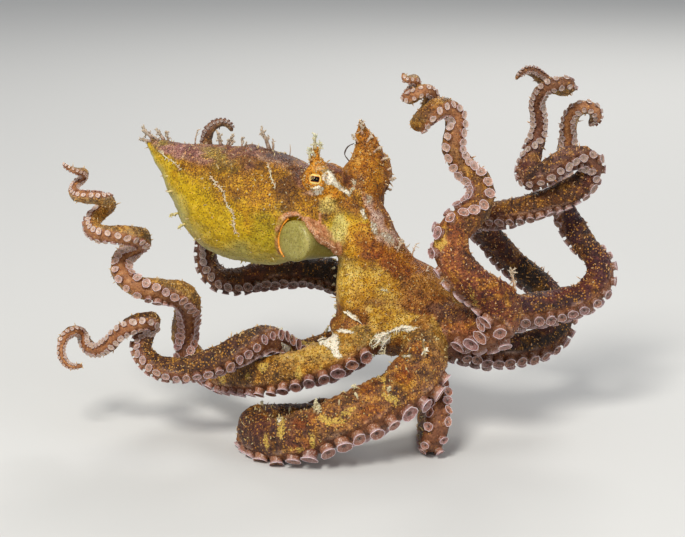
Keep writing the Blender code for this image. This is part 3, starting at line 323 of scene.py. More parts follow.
# Marks as the photograph shows them: tone, pixel, half width and half height, tilt in degrees, strength
MARKS = (
    ("green_gold", (266, 232), (15, 22), 0, 0.6), ("green_gold", (212, 152), (14, 7), 10, 0.5),
    ("orange_gold", (196, 176), (10, 14), -20, 0.3), ("orange_gold", (258, 196), (20, 15), 0, 0.55),
    ("dark_brown", (284, 186), (13, 17), 10, 0.65), ("dark_brown", (252, 162), (22, 8), 10, 0.5),
    ("olive", (226, 166), (16, 9), 0, 0.45), ("olive", (262, 214), (12, 6), -10, 0.35),
    ("mantle_ridge", (186, 150), (16, 8), 8, 0.7), ("olive", (164, 146), (9, 6), 10, 0.8),
    ("pink", (266, 158), (16, 4), 14, 0.35), ("pink", (182, 156), (10, 4), 15, 0.4),
    ("mauve", (174, 150), (22, 7), 10, 0.85), ("plum", (280, 155), (20, 7), 13, 0.85),
    ("dark_brown", (300, 172), (12, 8), 30, 0.6), ("orange_gold", (352, 228), (12, 9), 45, 0.45),
    ("plum", (262, 440), (16, 24), 0, 0.75), ("purple_brown", (294, 436), (14, 14), 0, 0.7),
    ("purple_brown", (330, 446), (22, 9), -8, 0.5), ("orange_gold", (368, 284), (11, 15), 0, 0.55),
    # The dusk mark at pixel 215, 366 is painted shade on an arm in the dark gap under the lower edge of the
    # arm above it
    ("dark_brown", (400, 274), (20, 9), 38, 0.55), ("dusk", (215, 366), (40, 12), -8, 0.7),
    ("dark_brown", (372, 262), (12, 7), 40, 0.55), ("dark_brown", (392, 190), (5, 9), 0, 0.5),
    ("ember", (453, 236), (6, 16), -10, 0.8), ("ember", (446, 252), (8, 8), 0, 0.6),
    ("orange_gold", (352, 300), (14, 16), -20, 0.4), ("orange_gold", (385, 318), (16, 10), 10, 0.5),
    ("plum", (284, 155), (16, 4), 12, 0.6), ("plum", (252, 146), (14, 3), 4, 0.5),
    ("rust", (362, 238), (10, 16), -35, 0.55), ("orange_gold", (392, 282), (16, 10), 30, 0.45),
    ("orange_gold", (376, 172), (8, 14), 0, 0.55), ("dark_brown", (346, 168), (6, 5), 0, 0.3),
    ("orange_gold", (330, 206), (10, 6), 20, 0.5), ("wine", (470, 296), (14, 20), -30, 0.5),
    ("wine", (560, 290), (24, 9), -15, 0.6), ("plum", (600, 268), (10, 14), 0, 0.5),
    ("purple_brown", (262, 446), (14, 14), 0, 0.6), ("orange_gold", (405, 384), (12, 8), 0, 0.35),
    ("saddle", (338, 171), (13, 7), 35, 0.95), ("saddle", (349, 182), (7, 8), 20, 0.8),
    ("head_orange", (311, 167), (5, 7), 0, 0.9), ("white", (329, 179), (6.5, 7), 20, 0.8),
    ("cream", (324, 170), (4, 6), -25, 0.55), ("white", (340, 188), (12, 3.6), 32, 0.8),
    ("white", (317, 189), (8, 5), 0, 0.9), ("pink", (313, 192), (10, 3), -8, 0.7),
    ("peach", (318, 168), (5, 2.5), 10, 0.8), ("cream", (354, 183), (2, 4), 0, 0.8),
    ("cream", (352, 190), (2, 4), 25, 0.8), ("pale_yellow", (340, 227), (10, 15), -10, 0.85),
    ("pale_yellow", (330, 206), (9, 8), 0, 0.6), ("pink", (388, 236), (13, 9), 40, 0.9),
    ("pink", (369, 203), (6, 12), -15, 0.85), ("pink", (377, 220), (8, 14), -28, 0.85),
    ("white", (364, 214), (4, 10), -25, 0.62), ("white", (373, 227), (4, 9), -30, 0.62),
    ("white", (369, 199), (4, 8), -10, 0.55), ("white", (387, 237), (10, 5), 40, 0.6),
    ("rust", (388, 262), (26, 9), 38, 0.85), ("rust", (366, 250), (12, 9), 30, 0.6),
    ("rust", (352, 206), (12, 6), 35, 0.45), ("far_turret", (376, 176), (13, 20), 0, 0.4),
    ("amber", (345, 200), (12, 6), 30, 0.5), ("column_low", (352, 280), (10, 20), 0, 0.5),
    ("crown_brown", (420, 296), (22, 9), 38, 0.7), ("purple_brown", (448, 312), (24, 7), 15, 0.8),
    ("cream", (384, 290), (5, 1.8), 20, 0.8), ("white", (353, 316), (9, 2.4), 38, 0.95),
    ("white", (346, 331.5), (8, 2.2), 10, 0.9), ("white", (329, 340), (12, 9), 35, 1),
    ("white", (336, 351), (4.2, 9), -30, 1), ("cream", (318, 330), (6, 4), 0, 0.6),
    ("white", (404, 328.5), (13, 3.4), -8, 1), ("white", (383, 338), (10, 6.5), -30, 0.95),
    ("cream", (406, 356), (7, 2), 0, 0.8), ("cream", (424, 347), (1.6, 9), 0, 0.7),
    ("cream", (370, 366), (2, 5), 20, 0.8), ("gilt", (336, 421), (15, 6), -12, 1),
    ("gilt", (322, 419), (5, 6), 0, 1), ("gilt", (281, 428), (4.5, 12), 5, 1),
    ("gilt", (266, 440), (3.5, 11), 0, 0.95), ("gilt", (312, 440), (4, 10), 0, 0.95),
    ("gilt", (296, 450), (8, 3.5), 10, 0.9), ("cream", (279, 419), (3, 4), 0, 0.9),
    ("rust", (300, 424), (9, 6), 0, 0.7), ("rust", (405, 375), (12, 8), 0, 0.7),
    ("white", (286, 349), (4.5, 5.5), 0, 1), ("gilt", (300, 345), (14, 7), -8, 0.9),
    ("gilt", (262, 366), (8, 6), 0, 0.9), ("gilt", (270, 355), (9, 4), -10, 0.8),
    ("gilt", (298, 374), (4, 9), 0, 1), ("gilt", (322, 370), (3.5, 8), 0, 0.9),
    ("gilt", (222, 378), (4, 8), 0, 0.9), ("gilt", (247, 376), (4, 5), 0, 0.9),
    ("gilt", (390, 398), (12, 5), 35, 0.9), ("gilt", (384, 384), (3, 8), 0, 0.85),
    ("gilt", (348, 412), (10, 4), -20, 0.85), ("gilt", (440, 246), (6, 12), 10, 0.8),
    ("gilt", (474, 300), (4, 14), -20, 0.7), ("crown_gold", (310, 352), (36, 9), -6, 0.5),
    ("rust", (376, 352), (12, 8), 0, 0.5), ("maroon", (562, 282), (12, 6), 0, 0.8),
    ("crown_gold", (441, 240), (5, 14), 10, 0.6),
)
MARK_DEPTH = 4.0

# Suckers: the rings of one, as shares of its radius, with their tones and whether they ripple
SUCKER_PROFILE = (
    (0.98, -0.45, "stalk", False), (0.90, 0.05, "stalk", False), (0.84, 0.45, "stalk", False),
    (0.87, 0.78, "neck", False), (0.97, 0.95, "neck", True), (1.01, 1.02, "rim", True),
    (0.985, 1.07, "rim", True), (0.945, 1.06, "rim", True), (0.90, 1.02, "cup", True),
    (0.80, 0.93, "cup", False), (0.62, 0.84, "cup", False), (0.40, 0.78, "cup", False),
    (0.24, 0.74, "hole", False), (0.14, 0.58, "hole", False),
)
SUCKER_SHARE = 0.355
SUCKER_SMALLEST = 0.34
SUCKER_BROADEST = 1.95
SUCKER_GAP = 0.93
SUCKER_SPLAY = math.radians(36)
# Each arm's suckers: how far along it the first one stands, their height at root and tip, and their shade, a
# factor that darkens them as painted shade where the arm lies in shadow or is seen edge-on, most on arm_l3
ARM_SUCKERS = {
    "arm_r1": (14.0, (0.8, 0.5), 0.9), "arm_r2": (16.0, (0.85, 0.6), 0.95),
    "arm_r3": (13.0, (0.8, 0.6), 1.0), "arm_r4": (14.0, (0.85, 0.4), 1.0),
    "arm_l4": (14.0, (0.8, 0.4), 0.85), "arm_l3": (16.0, (0.8, 0.5), 0.45),
    "arm_l2": (10.0, (1.0, 0.6), 0.62), "arm_l1": (12.0, (1.0, 0.6), 0.7),
}
SUCKER_TONES = {
    "stalk": (150, 94, 54), "stalk_warm": (126, 76, 56), "rim": (224, 202, 208),
    "cup": (160, 104, 74), "cup_warm": (148, 104, 100), "cup_tip": (196, 166, 146),
    "hole": (92, 56, 44), "hole_tip": (168, 136, 116),
}

# Papillae in the photograph: foot pixel, lean right, up and nearer, length, root radius, times it branches
PAPILLAE = (
    ((150, 136), (-1, 0.7, 0.1), 4.6, 0.9, 2), ((155, 133), (-0.4, 1, 0), 4, 0.8, 2),
    ((164, 137), (-0.1, 1, 0.1), 3, 0.6, 2), ((150, 141), (-1, 0.1, 0.3), 3, 0.7, 2),
    ((158, 140), (-0.6, 0.6, 0.5), 2.6, 0.6, 1), ((192, 141), (-0.05, 1, 0), 4.6, 0.4, 1),
    ((217, 140), (-0.2, 1, 0.1), 4, 0.9, 2), ((223, 139), (0.3, 1, 0), 3.6, 0.8, 2),
    ((228, 143), (0.5, 0.8, 0.4), 2.4, 0.5, 1), ((240, 143), (0.1, 1, 0.1), 2.8, 0.6, 2),
    ((245, 147), (0.2, 0.9, 0.5), 2.2, 0.5, 1), ((268, 146), (-0.18, 1, 0), 6.6, 0.9, 2),
    ((272, 148), (0.3, 1, 0.1), 3.4, 0.6, 1), ((289, 149), (0.3, 1, 0), 3.4, 0.3, 0),
    ((172, 191), (-1, 0.1, 0), 1.7, 0.6, 0), ((168, 176), (-1, 0.2, 0), 1.2, 0.4, 0),
    ((178, 213), (-1, -0.1, 0.1), 2.4, 0.6, 2), ((185, 224), (-1, -0.2, 0.1), 2.2, 0.6, 2),
    ((196, 238), (-0.8, -0.5, 0.1), 1.2, 0.4, 0), ((213, 254), (-0.6, -0.8, 0.1), 1.7, 0.5, 1),
    ((252, 264), (0, -1, 0.3), 1.4, 0.55, 0), ((260, 264), (0.1, -1, 0.3), 1.5, 0.6, 0),
    ((273, 258), (0.2, -0.8, 0.5), 1.2, 0.5, 0), ((236, 262), (-0.1, -1, 0.2), 1.1, 0.4, 0),
    ((311, 152), (-0.25, 1, 0.2), 3.4, 0.7, 2), ((315, 148), (0, 1, 0.1), 4.2, 0.8, 2),
    ((319, 152), (0.35, 1, 0.1), 3.2, 0.6, 2), ((315, 156), (-0.3, 0.6, 0.8), 2, 0.5, 1),
    ((362, 134), (0, 1, 0.1), 4, 0.7, 2), ((358, 142), (-0.6, 0.8, 0.2), 2.6, 0.6, 2),
    ((367, 142), (0.6, 0.8, 0.2), 2.8, 0.6, 2), ((374, 152), (0.8, 0.7, 0.1), 2.6, 0.6, 2),
    ((382, 160), (0.9, 0.5, 0.1), 1.6, 0.7, 2), ((389, 180), (1, 0.5, 0.1), 1.9, 0.75, 2),
    ((390, 187), (1, -0.1, 0.2), 1.5, 0.65, 1), ((388, 170), (1, 0.3, 0), 1.3, 0.65, 1),
    ((397, 252), (0.5, 1, 0.2), 4, 0.5, 2), ((412, 256), (0.1, 1, 0.1), 4, 0.45, 1),
    ((405, 250), (0.4, 0.8, 0.3), 2.4, 0.4, 1), ((426, 272), (0.5, 0.8, 0.2), 2, 0.4, 1),
    ((440, 284), (0.5, 0.8, 0.1), 1.8, 0.4, 1), ((337, 305), (-1, 0.1, 0.5), 1.5, 0.6, 0),
    ((320, 330), (-0.3, 1, 0.4), 2.6, 0.45, 2), ((326, 333), (0, 1, 0.5), 2, 0.4, 2),
    ((374, 338), (-0.7, -0.5, 0.7), 2.6, 0.4, 1), ((380, 343), (-0.6, -0.7, 0.6), 3, 0.4, 1),
    ((388, 338), (0.1, 0.9, 0.5), 2.4, 0.4, 1), ((386, 346), (-0.3, -0.9, 0.5), 2.6, 0.4, 1),
    ((372, 368), (0.6, 0.7, 0.4), 2.6, 0.5, 2), ((384, 364), (0.7, 0.3, 0.5), 2.4, 0.5, 2),
    ((358, 388), (-0.6, 0.5, 0.5), 2, 0.5, 2), ((388, 392), (0, 1, 0.4), 1.8, 0.5, 2),
    ((255, 398), (-0.1, 1, 0.2), 2.2, 0.5, 1), ((263, 407), (0, 1, 0.3), 1.8, 0.5, 2),
    ((289, 412), (0, 1, 0.2), 1.7, 0.5, 1), ((315, 412), (-0.1, 1, 0.2), 3.6, 0.8, 2),
    ((318, 413), (0.4, 1, 0.2), 2.4, 0.6, 2), ((339, 404), (0, 1, 0.2), 1.3, 0.45, 1),
    ((358, 399), (-0.2, 1, 0.2), 1.8, 0.5, 2), ((284, 340), (-0.1, 1, 0.2), 3.6, 0.5, 2),
    ((288, 342), (0.4, 1, 0.2), 2.4, 0.4, 1), ((526, 289), (0.1, 1, 0.1), 5.2, 0.5, 2),
    ((519, 291), (-0.3, 1, 0.1), 3, 0.4, 1), ((425, 356), (0.1, 1, 0.4), 2.4, 0.5, 1),
)
PAPILLA_LENGTH = 0.8
PAPILLA_WIDTH = 0.6
# Threads of pale skin: their runs of pixels, radius, and the tones of the thread and of its lobes
THREADS = (
    ((
        ((210.6, 175.8), (218, 187), (225, 193.4), (227.6, 206.5), (231.5, 209), (234, 226), (239, 236.6),
         (243, 254), (245, 259)), ((268, 163.4), (270.7, 176.4), (274.6, 188)),
        ((159, 150), (167, 157), (174, 163), (182, 170)), ((353, 179), (355, 184.5), (350, 193)),
    ), 0.11, (214, 206, 170), (196, 152, 118)),
    ((
        ((371, 346), (379, 341), (386, 334), (396, 329), (407, 327), (419, 327)),
        ((378, 353), (384, 345), (390, 337)), ((372, 367), (382, 364), (392, 358), (402, 355), (411, 354)),
        ((424, 340), (425.5, 348), (422, 357)), ((322, 335), (330, 338), (337, 346), (341, 357)),
        ((318, 341), (326, 338), (331, 343)), ((343, 311), (350, 316), (359, 321)),
        ((280, 343), (287, 347), (291, 352)), ((338, 331), (347, 331), (355, 333)),
    ), 0.2, (240, 232, 212), (226, 208, 172)),
)
# The farthest step in depth that a thread takes from one pixel of its run to the next
LEAP = 4.0
# Bulbs down the edge of the web: the edge's pixel column, its first and last rows and the step between bulbs
BULBS_EDGE = (336.0, 252.0, 320.0, 8.0)
BULB_TONE = (214, 206, 170)
# The bare thread that rises between the eyes
FILAMENT = ((349, 161), (344.7, 154), (348, 146.6), (354, 143.4))
FILAMENT_TONE = (60, 40, 30)
# The lip of skin round the funnel, as pixels, with its radii in millimetres
LIP = (
    (285, 258.5), (279.5, 251), (276.8, 240), (277.6, 229), (282, 219.5), (289, 214.8), (297, 214.6),
    (304, 219), (310, 226.5), (315.5, 234.5), (322, 240.5), (328.7, 244), (333.5, 249.5), (336.5, 256),
)
LIP_RADIUS = (0.35, 0.5, 0.6, 0.65, 0.7, 0.75, 0.8, 0.85, 0.95, 1.0, 1.05, 0.95, 0.8, 0.6)
LIP_CRINKLES = 75.0
LIP_FRINGE = 12
# The flap that the lip edges: where it starts on the lip, its far line, its lifts over the skin and depth
FLAP_START = 5
FLAP_ENDS = (
    (290, 202), (303, 199), (318, 200), (330, 205), (341, 212), (347, 221), (351, 229), (355, 239),
    (357, 250),
)
FLAP_LIFTS = (0.9, 1.1, 1.0, 0.6, -0.4)
FLAP_DEPTH = 1.5
# The funnel's bright orange edge, a painted glow of light through its thin rim
PAINTED_GLOW_EDGE = ((288.5, 218.8), (283.2, 224.5), (279.9, 233), (279, 243), (280.2, 250), (284, 257))
PAINTED_GLOW_RADIUS = 0.34

# Thorns: how many stand on an arm's millimetre and on other forms, and their root and tip tones
THORNS_PER_MM = 2.4
THORN_COUNTS = {"mantle": 260, "head": 220, "web": 30}
THORN_TONES = {
    "mantle": ((150, 112, 62), (206, 186, 140)), "arm_l3": ((50, 28, 18), (110, 84, 60)),
    "arm_r1": ((110, 66, 46), (214, 164, 104)), "arm_l1": ((110, 66, 46), (214, 164, 104)),
    "arm_l2": ((110, 66, 46), (214, 164, 104)), "arm_r2": ((110, 74, 50), (216, 196, 128)),
    "arm_r3": ((110, 74, 50), (216, 196, 128)),
}
OTHER_THORNS = ((140, 92, 48), (214, 178, 112))

# Stage: floor, sky, and each lamp's name, place, size, power and colour, with lengths in metres
FLOOR_COLOUR = (0.62, 0.62, 0.60, 1.0)
SKY_COLOUR = (0.93, 0.95, 1.0, 1.0)
SKY_STRENGTH = 0.42
LIT_PLACE = (0.0, 0.0, 0.045)
LIGHTS = (
    ("key", (-0.25, -0.65, 0.75), 0.3, 9.0, (1.0, 0.97, 0.92)),
    ("fill", (0.75, -0.45, 0.35), 0.6, 2.0, (0.94, 0.96, 1.0)),
    ("back", (0.25, 0.75, 0.65), 0.4, 3.5, (1.0, 0.98, 0.95)),
)


def unit(vector):
    vector = np.asarray(vector, float)
    return vector / np.linalg.norm(vector)


def unit_rows(rows):
    return rows / np.linalg.norm(rows, axis=1)[:, None]


def ramp(value, low, high):
    """0 at low, 1 at high, and smooth between them."""
    t = np.clip((value - low) / (high - low), 0.0, 1.0)
    return t * t * (3.0 - 2.0 * t)


def linear(colour):
    """Linear light from a colour as a screen shows it, 0 to 255."""
    c = np.asarray(colour, float) / 255.0
    return np.where(c <= 0.04045, c / 12.92, ((c + 0.055) / 1.055) ** 2.4)


def mixed(under, over, share):
    """Rows of colours with another colour laid over them by a share for each row."""
    return under + (np.asarray(over) - under) * np.asarray(share)[:, None]


def lattice(cells, seed):
    """A repeatable number from -1 to 1 for each whole-number place."""
    h = (cells[:, 0] * 73856093) ^ (cells[:, 1] * 19349663) ^ (cells[:, 2] * 83492791) ^ (seed * 2654435761)
    h = ((h ^ (h >> 13)) * 1274126177) & 0xFFFFFFFF
    return ((h ^ (h >> 15)) & 0xFFFF) / 32767.5 - 1.0


def cloud(points, size, seed, octaves=1):
    """Smooth noise from about -1 to 1 with lumps of a size in millimetres, and finer octaves on top."""
    total, weight, share = 0.0, 0.0, 1.0
    for k in range(octaves):
        place = points / size + 7.31 * (seed + k)
        cell = np.floor(place).astype(np.int64)
        part = place - cell
        part = part * part * (3.0 - 2.0 * part)
        for corner in np.ndindex(2, 2, 2):
            nearness = np.prod(np.where(corner, part, 1.0 - part), axis=1)
            total = total + share * nearness * lattice(cell + corner, seed + 31 * k)
        weight += share
        share *= 0.5
        size *= 0.5
    return 1.6 * total / weight


def between(t, start, end, first, last):
    """A straight mix of two rows of numbers: the first at the start, the last at the end."""
    return (end - t) / (end - start) * first + (t - start) / (end - start) * last


def smooth_curve(knots):
    """Points of a centripetal Catmull-Rom curve through knots, whose first three numbers are places."""
    knots = np.asarray(knots, float)
    ends = np.vstack([2 * knots[0] - knots[1], knots, 2 * knots[-1] - knots[-2]])
    points = []
    for i in range(1, len(ends) - 2):
        four = ends[i - 1 : i + 3]
        gaps = np.sqrt(np.linalg.norm(np.diff(four[:, :3], axis=0), axis=1))
        times = (0.0, gaps[0], gaps[0] + gaps[1], gaps.sum())
        for t in np.linspace(times[1], times[2], CURVE_STEPS, endpoint=False):
            a = [between(t, times[k], times[k + 1], four[k], four[k + 1]) for k in range(3)]
            b = [between(t, times[k], times[k + 2], a[k], a[k + 1]) for k in range(2)]
            points.append(between(t, times[1], times[2], *b))
    points.append(knots[-1])
    return np.array(points), np.arange(len(knots)) * CURVE_STEPS


def lengths_along(points):
    return np.concatenate([[0.0], np.cumsum(np.linalg.norm(np.diff(points[:, :3], axis=0), axis=1))])


def read_at(s, at, rows):
    """Rows of numbers along a curve, read at one or more lengths."""
    return np.array([np.interp(s, at, column) for column in rows.T]).T


def evenly(rows, step):
    """Rows of numbers along a curve, read again at even steps of length."""
    at = lengths_along(rows)
    return read_at(np.linspace(0, at[-1], max(2, round(at[-1] / step)) + 1), at, rows)


def softened(points, spread):
    """The curve evenly divided, with its sharpest bends eased and its two ends kept."""
    points = evenly(points, ROUTE_STEP)
    even = np.linspace(0, lengths_along(points)[-1], len(points))
    line = points[0] + (points[-1] - points[0]) * (even / even[-1])[:, None]
    weights = np.exp(-0.5 * ((even[:, None] - even[None, :]) / spread) ** 2)
    mirrored = 0.0
    for end in (0.0, even[-1]):
        mirrored += np.exp(-0.5 * ((even[:, None] - 2 * end + even[None, :]) / spread) ** 2)
    total = (weights + mirrored).sum(1)
    weights -= mirrored
    return line + (weights / total[:, None]) @ (points - line)


def ellipse_reach(angle, tall, wide):
    """How far an ellipse reaches from its middle at an angle from its tall radius."""
    return 1 / np.sqrt((np.cos(angle) / tall) ** 2 + (np.sin(angle) / wide) ** 2)


class Form:
    """A tapering form along a curve: its centres, its two radii and the directions that they lie along."""

    def __init__(self, name, points, up, tall, wide):
        self.name, self.points, self.tall, self.wide = name, points, tall, wide
        self.at = lengths_along(points)
        self.length = self.at[-1]
        self.tangents = unit_rows(np.gradient(points, self.at, axis=0))
        self.up = unit_rows(up - (up * self.tangents).sum(1)[:, None] * self.tangents)
        self.side = np.cross(self.tangents, self.up)

    def place(self, s):
        """Centre, tangent, up and side vectors and the two radii at a length along the form."""
        centre, tangent, up = [read_at(s, self.at, rows) for rows in (self.points, self.tangents, self.up)]
        tangent = unit(tangent)
        up = unit(up - (up @ tangent) * tangent)
        tall, wide = np.interp(s, self.at, self.tall), np.interp(s, self.at, self.wide)
        return centre, tangent, up, np.cross(tangent, up), tall, wide

    def skin_at(self, s, angle):
        """The point on the skin at an angle from up, and the way out from the axis there."""
        centre, _, up, side, tall, wide = self.place(s)
        out = math.cos(angle) * up + math.sin(angle) * side
        return centre + ellipse_reach(angle, tall, wide) * out, out

    def tube(self, sides, skip):
        """Points and faces of the form's closed tube."""
        angles = np.arange(sides) / sides * 2 * math.pi
        rows = sorted({*range(0, len(self.points), skip), len(self.points) - 1})
        ups = self.up[rows][:, None, :] * (self.tall[rows][:, None] * np.cos(angles))[:, :, None]
        sideways = self.side[rows][:, None, :] * (self.wide[rows][:, None] * np.sin(angles))[:, :, None]
        points = (self.points[rows][:, None, :] + ups + sideways).reshape(-1, 3)
        return points, tube_faces(len(rows), sides)


def cord(name, line, radius):
    """A round form along a line, with its up direction towards the camera."""
    return Form(name, line, np.tile(camera_axes()[3], (len(line), 1)), radius, radius)


def tube_faces(rings, sides):
    faces = []
    for k in range(rings - 1):
        for i in range(sides):
            j = (i + 1) % sides
            faces.append((k * sides + i, k * sides + j, (k + 1) * sides + j, (k + 1) * sides + i))
    faces.append(tuple(reversed(range(sides))))
    faces.append(tuple((rings - 1) * sides + i for i in range(sides)))
    return faces


def arm_radius(sizes, t):
    """Radius at each fraction of an arm's length, rounded off over the last stretch."""
    plain = np.interp(t, np.linspace(0, 1, len(sizes)), sizes)
    left = np.clip((1.0 - t) / TIP_TAPER, 0.0, 1.0)
    return plain * (TIP_ROUNDING + (1 - TIP_ROUNDING) * np.sqrt(left))


def arm_form(name):
    """An arm as a form whose up direction points to its suckers."""
    route = ARM_ROUTES[name]
    curve, marks = smooth_curve([knot[:3] for knot in route])
    marks = lengths_along(curve)[marks]
    points = softened(curve, ROUTE_EASING)
    at = lengths_along(points)
    marks = marks * at[-1] / marks[-1]
    tangents = unit_rows(np.gradient(points, at, axis=0))
    free = [unit(np.cross(tangents[0], ANY_WAY))]
    for tangent in tangents[1:]:
        free.append(unit(free[-1] - (free[-1] @ tangent) * tangent))
    free = np.array(free)
    beside = np.cross(tangents, free)
    places, turns = [], []
    for mark, knot in zip(marks, route):
        i = min(np.searchsorted(at, mark), len(at) - 1)
        if len(knot) == 4 and abs(np.dot(unit(knot[3]), tangents[i])) < TOO_LENGTHWISE:
            places.append(at[i])
            turns.append(math.atan2(np.dot(knot[3], beside[i]), np.dot(knot[3], free[i])))
    turn = np.interp(at, places, np.unwrap(turns))
    spread = np.exp(-0.5 * ((at[:, None] - at[None, :]) / TURN_EASING) ** 2)
    turn = (spread @ turn) / spread.sum(1)
    oral = np.cos(turn)[:, None] * free + np.sin(turn)[:, None] * beside
    radii = arm_radius(ARM_RADII[name], at / at[-1])
    return Form(name, points + SHIFT, oral, radii, ARM_WIDTH * radii)


def section_form(name, sections):
    """A form through cross-sections: centre, half height and half width, or one radius."""
    centres = np.array([s[:3] for s in sections], float)
    tangents = unit_rows(np.gradient(centres, axis=0))
    rows = []
    for (*centre, tall, wide), tangent in zip([(*s[:4], s[-1]) for s in sections], tangents):
        side = unit(np.cross(tangent, RIGHT if abs(tangent[2]) > NEARLY_UPRIGHT else DOWN))
        rows.append((*centre, tall, wide, *np.cross(side, tangent)))
    dense = evenly(smooth_curve(rows)[0], SECTION_STEP)
    least = min(s[3] for s in sections)
    tall, wide = np.maximum(dense[:, 3], least), np.maximum(dense[:, 4], least)
    return Form(name, dense[:, :3] + SHIFT, dense[:, 5:], tall, wide)


def offsets_from(form, points):
    """For each point: a form's nearest sample, the angle from up round it, and the distance to its skin."""
    nearest = np.empty(len(points), np.int64)
    size = (0.5 * (form.tall + form.wide)).astype(np.float32)
    centres = form.points.astype(np.float32)
    for start in range(0, len(points), CHUNK):
        some = points[start : start + CHUNK].astype(np.float32)
        squares = (some**2).sum(1)[:, None] - 2 * some @ centres.T + (centres**2).sum(1)[None, :]
        nearest[start : start + CHUNK] = np.argmin(np.sqrt(np.maximum(squares, 0.0)) - size, axis=1)
    offset = points - form.points[nearest]
    up, side, along = [(offset * rows[nearest]).sum(1) for rows in (form.up, form.side, form.tangents)]
    angle = np.arctan2(side, up)
    outward = np.hypot(up, side) - ellipse_reach(angle, form.tall[nearest], form.wide[nearest])
    past = np.maximum(np.abs(along) - SECTION_STEP, 0.0)
    distance = np.where(outward > 0, np.hypot(outward, past), np.maximum(outward, past - np.hypot(up, side)))
    return nearest, angle, distance


def new_mesh(name, points, faces):
    mesh = bpy.data.meshes.new(name)
    mesh.from_pydata(np.asarray(points, float).tolist(), [], faces)
    mesh.validate()
    return mesh


def added(name, data):
    """A new object in the scene."""
    made = bpy.data.objects.new(name, data)
    bpy.context.scene.collection.objects.link(made)
    return made


def shown(name, mesh, material):
    """A visible object from a mesh in millimetres, turned into metres, shaded smooth, riding on the body."""
    mesh.transform(Matrix.Scale(MM, 4))
    mesh.shade_smooth()
    mesh.materials.append(material)
    made = added(name, mesh)
    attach(made, "root")
    return made


def remeshed(points, faces, size):
    """One closed surface round overlapping closed meshes."""
    whole = added("whole", new_mesh("whole", points, faces))
    modifier = whole.modifiers.new("remesh", "REMESH")
    modifier.mode = "VOXEL"
    modifier.voxel_size = size
    bpy.context.view_layer.update()
    made = bpy.data.meshes.new_from_object(whole.evaluated_get(bpy.context.evaluated_depsgraph_get()))
    bpy.data.objects.remove(whole)
    return made


class Heap:
    """Many small closed tubes in one mesh, each with colours for its points and a patch of the bake map."""

    def __init__(self):
        self.points, self.faces, self.tones, self.patches, self.roots, self.count = [], [], [], [], [], 0

    def add(self, rings, tones):
        """Adds a tube of rings of points, each ring with its own colours."""
        count, sides = rings.shape[:2]
        ring, side = np.mgrid[0:count, 0:sides]
        owner = np.full(rings.shape[:2], len(self.roots))
        self.patches.append(np.stack([owner, side / sides, ring / (count - 1)], 2).reshape(-1, 3))
        self.roots.append(rings[0].mean(0))
        self.points.append(rings.reshape(-1, 3))
        self.tones.append(tones.reshape(-1, 3))
        self.faces += [tuple(i + self.count for i in face) for face in tube_faces(count, sides)]
        self.count += count * sides

    def piece(self, name, material, forms):
        """Makes the visible piece, kept above the floor."""
        points = np.vstack(self.points)
        points[:, 2] = np.maximum(points[:, 2], FLOOR_LEVEL)
        mesh = bpy.data.meshes.new(name)
        mesh.from_pydata(points.tolist(), [], self.faces)
        set_colours(mesh, "tone", np.vstack(self.tones))
        self.bake_map(mesh, forms)
        made = shown(name, mesh, material)

    def bake_map(self, mesh, forms):
        """Lays each tube as a small patch at its root's place on the unwrapped skin."""
        corner = np.empty(len(mesh.loops), np.int32)
        mesh.loops.foreach_get("vertex_index", corner)
        owner, across, upward = np.vstack(self.patches)[corner].T
        places = unwrapped(np.array(self.roots), forms)[owner.astype(int)]
        places += PATCH * (np.stack([across, upward], 1) - 0.5)
        layer = mesh.uv_layers.new(name="OFBake")
        layer.data.foreach_set("uv", places.astype(np.float32).ravel())


def unwrapped(points, forms):
    """Places on a flat unwrap of the skin: a strip for each form, its length upward and its girth across."""
    read = [offsets_from(form, points) for form in forms]
    owner = np.argmin([r[2] for r in read], axis=0)
    places = np.empty((len(points), 2))
    for i, (form, (nearest, angle, _)) in enumerate(zip(forms, read)):
        rows = owner == i
        girth = 0.5 + angle[rows] / (2 * math.pi)
        places[rows, 0] = (i + 0.04 + 0.92 * girth) / len(forms)
        places[rows, 1] = 0.01 + 0.98 * form.at[nearest[rows]] / form.length
    return places


def set_colours(mesh, name, tones):
    """Keeps a colour for each point as an attribute of the mesh."""
    layer = mesh.color_attributes.new(name, "FLOAT_COLOR", "POINT")
    rows = np.ones((len(tones), 4), np.float32)
    rows[:, :3] = np.clip(tones, 0.0, 1.0)
    layer.data.foreach_set("color", rows.ravel())


def edges_of(mesh):
    pairs = np.empty(2 * len(mesh.edges), np.int32)
    mesh.edges.foreach_get("vertices", pairs)
    return pairs.reshape(-1, 2)


def relaxed(points, pairs, share, rounds):
    """Points moved towards the middle of their neighbours, each by its own share, some rounds over."""
    count = len(points)
    ones = np.bincount(pairs.ravel(), minlength=count)
    for _ in range(rounds):
        middle = np.empty_like(points)
        for k in range(3):
            total = np.bincount(pairs[:, 0], points[pairs[:, 1], k], count)
            total += np.bincount(pairs[:, 1], points[pairs[:, 0], k], count)
            middle[:, k] = total / np.maximum(ones, 1)
        points = points + share[:, None] * (middle - points)
    return points


def points_of(mesh):
    flat = np.empty(3 * len(mesh.vertices), np.float64)
    mesh.vertices.foreach_get("co", flat)
    return flat.reshape(-1, 3)


def normals_of(mesh, points):
    mesh.vertices.foreach_set("co", points.ravel())
    mesh.update()
    flat = np.empty(3 * len(mesh.vertices), np.float32)
    mesh.vertices.foreach_get("normal", flat)
    return flat.reshape(-1, 3).astype(float)


def eye_axis(name):
    return unit(EYE_LOOKS[name])


def refined(mesh, centre, radius):
    """The mesh with every edge inside a ball divided once."""
    work = bmesh.new()
    work.from_mesh(mesh)
    middle = Vector(centre)
    edges = [e for e in work.edges if all((v.co - middle).length < radius for v in e.verts)]
    bmesh.ops.subdivide_edges(work, edges=edges, cuts=1, use_grid_fill=True, smooth=0.0)
    bmesh.ops.triangulate(work, faces=[f for f in work.faces if len(f.verts) > 4])
    work.to_mesh(mesh)
    work.free()


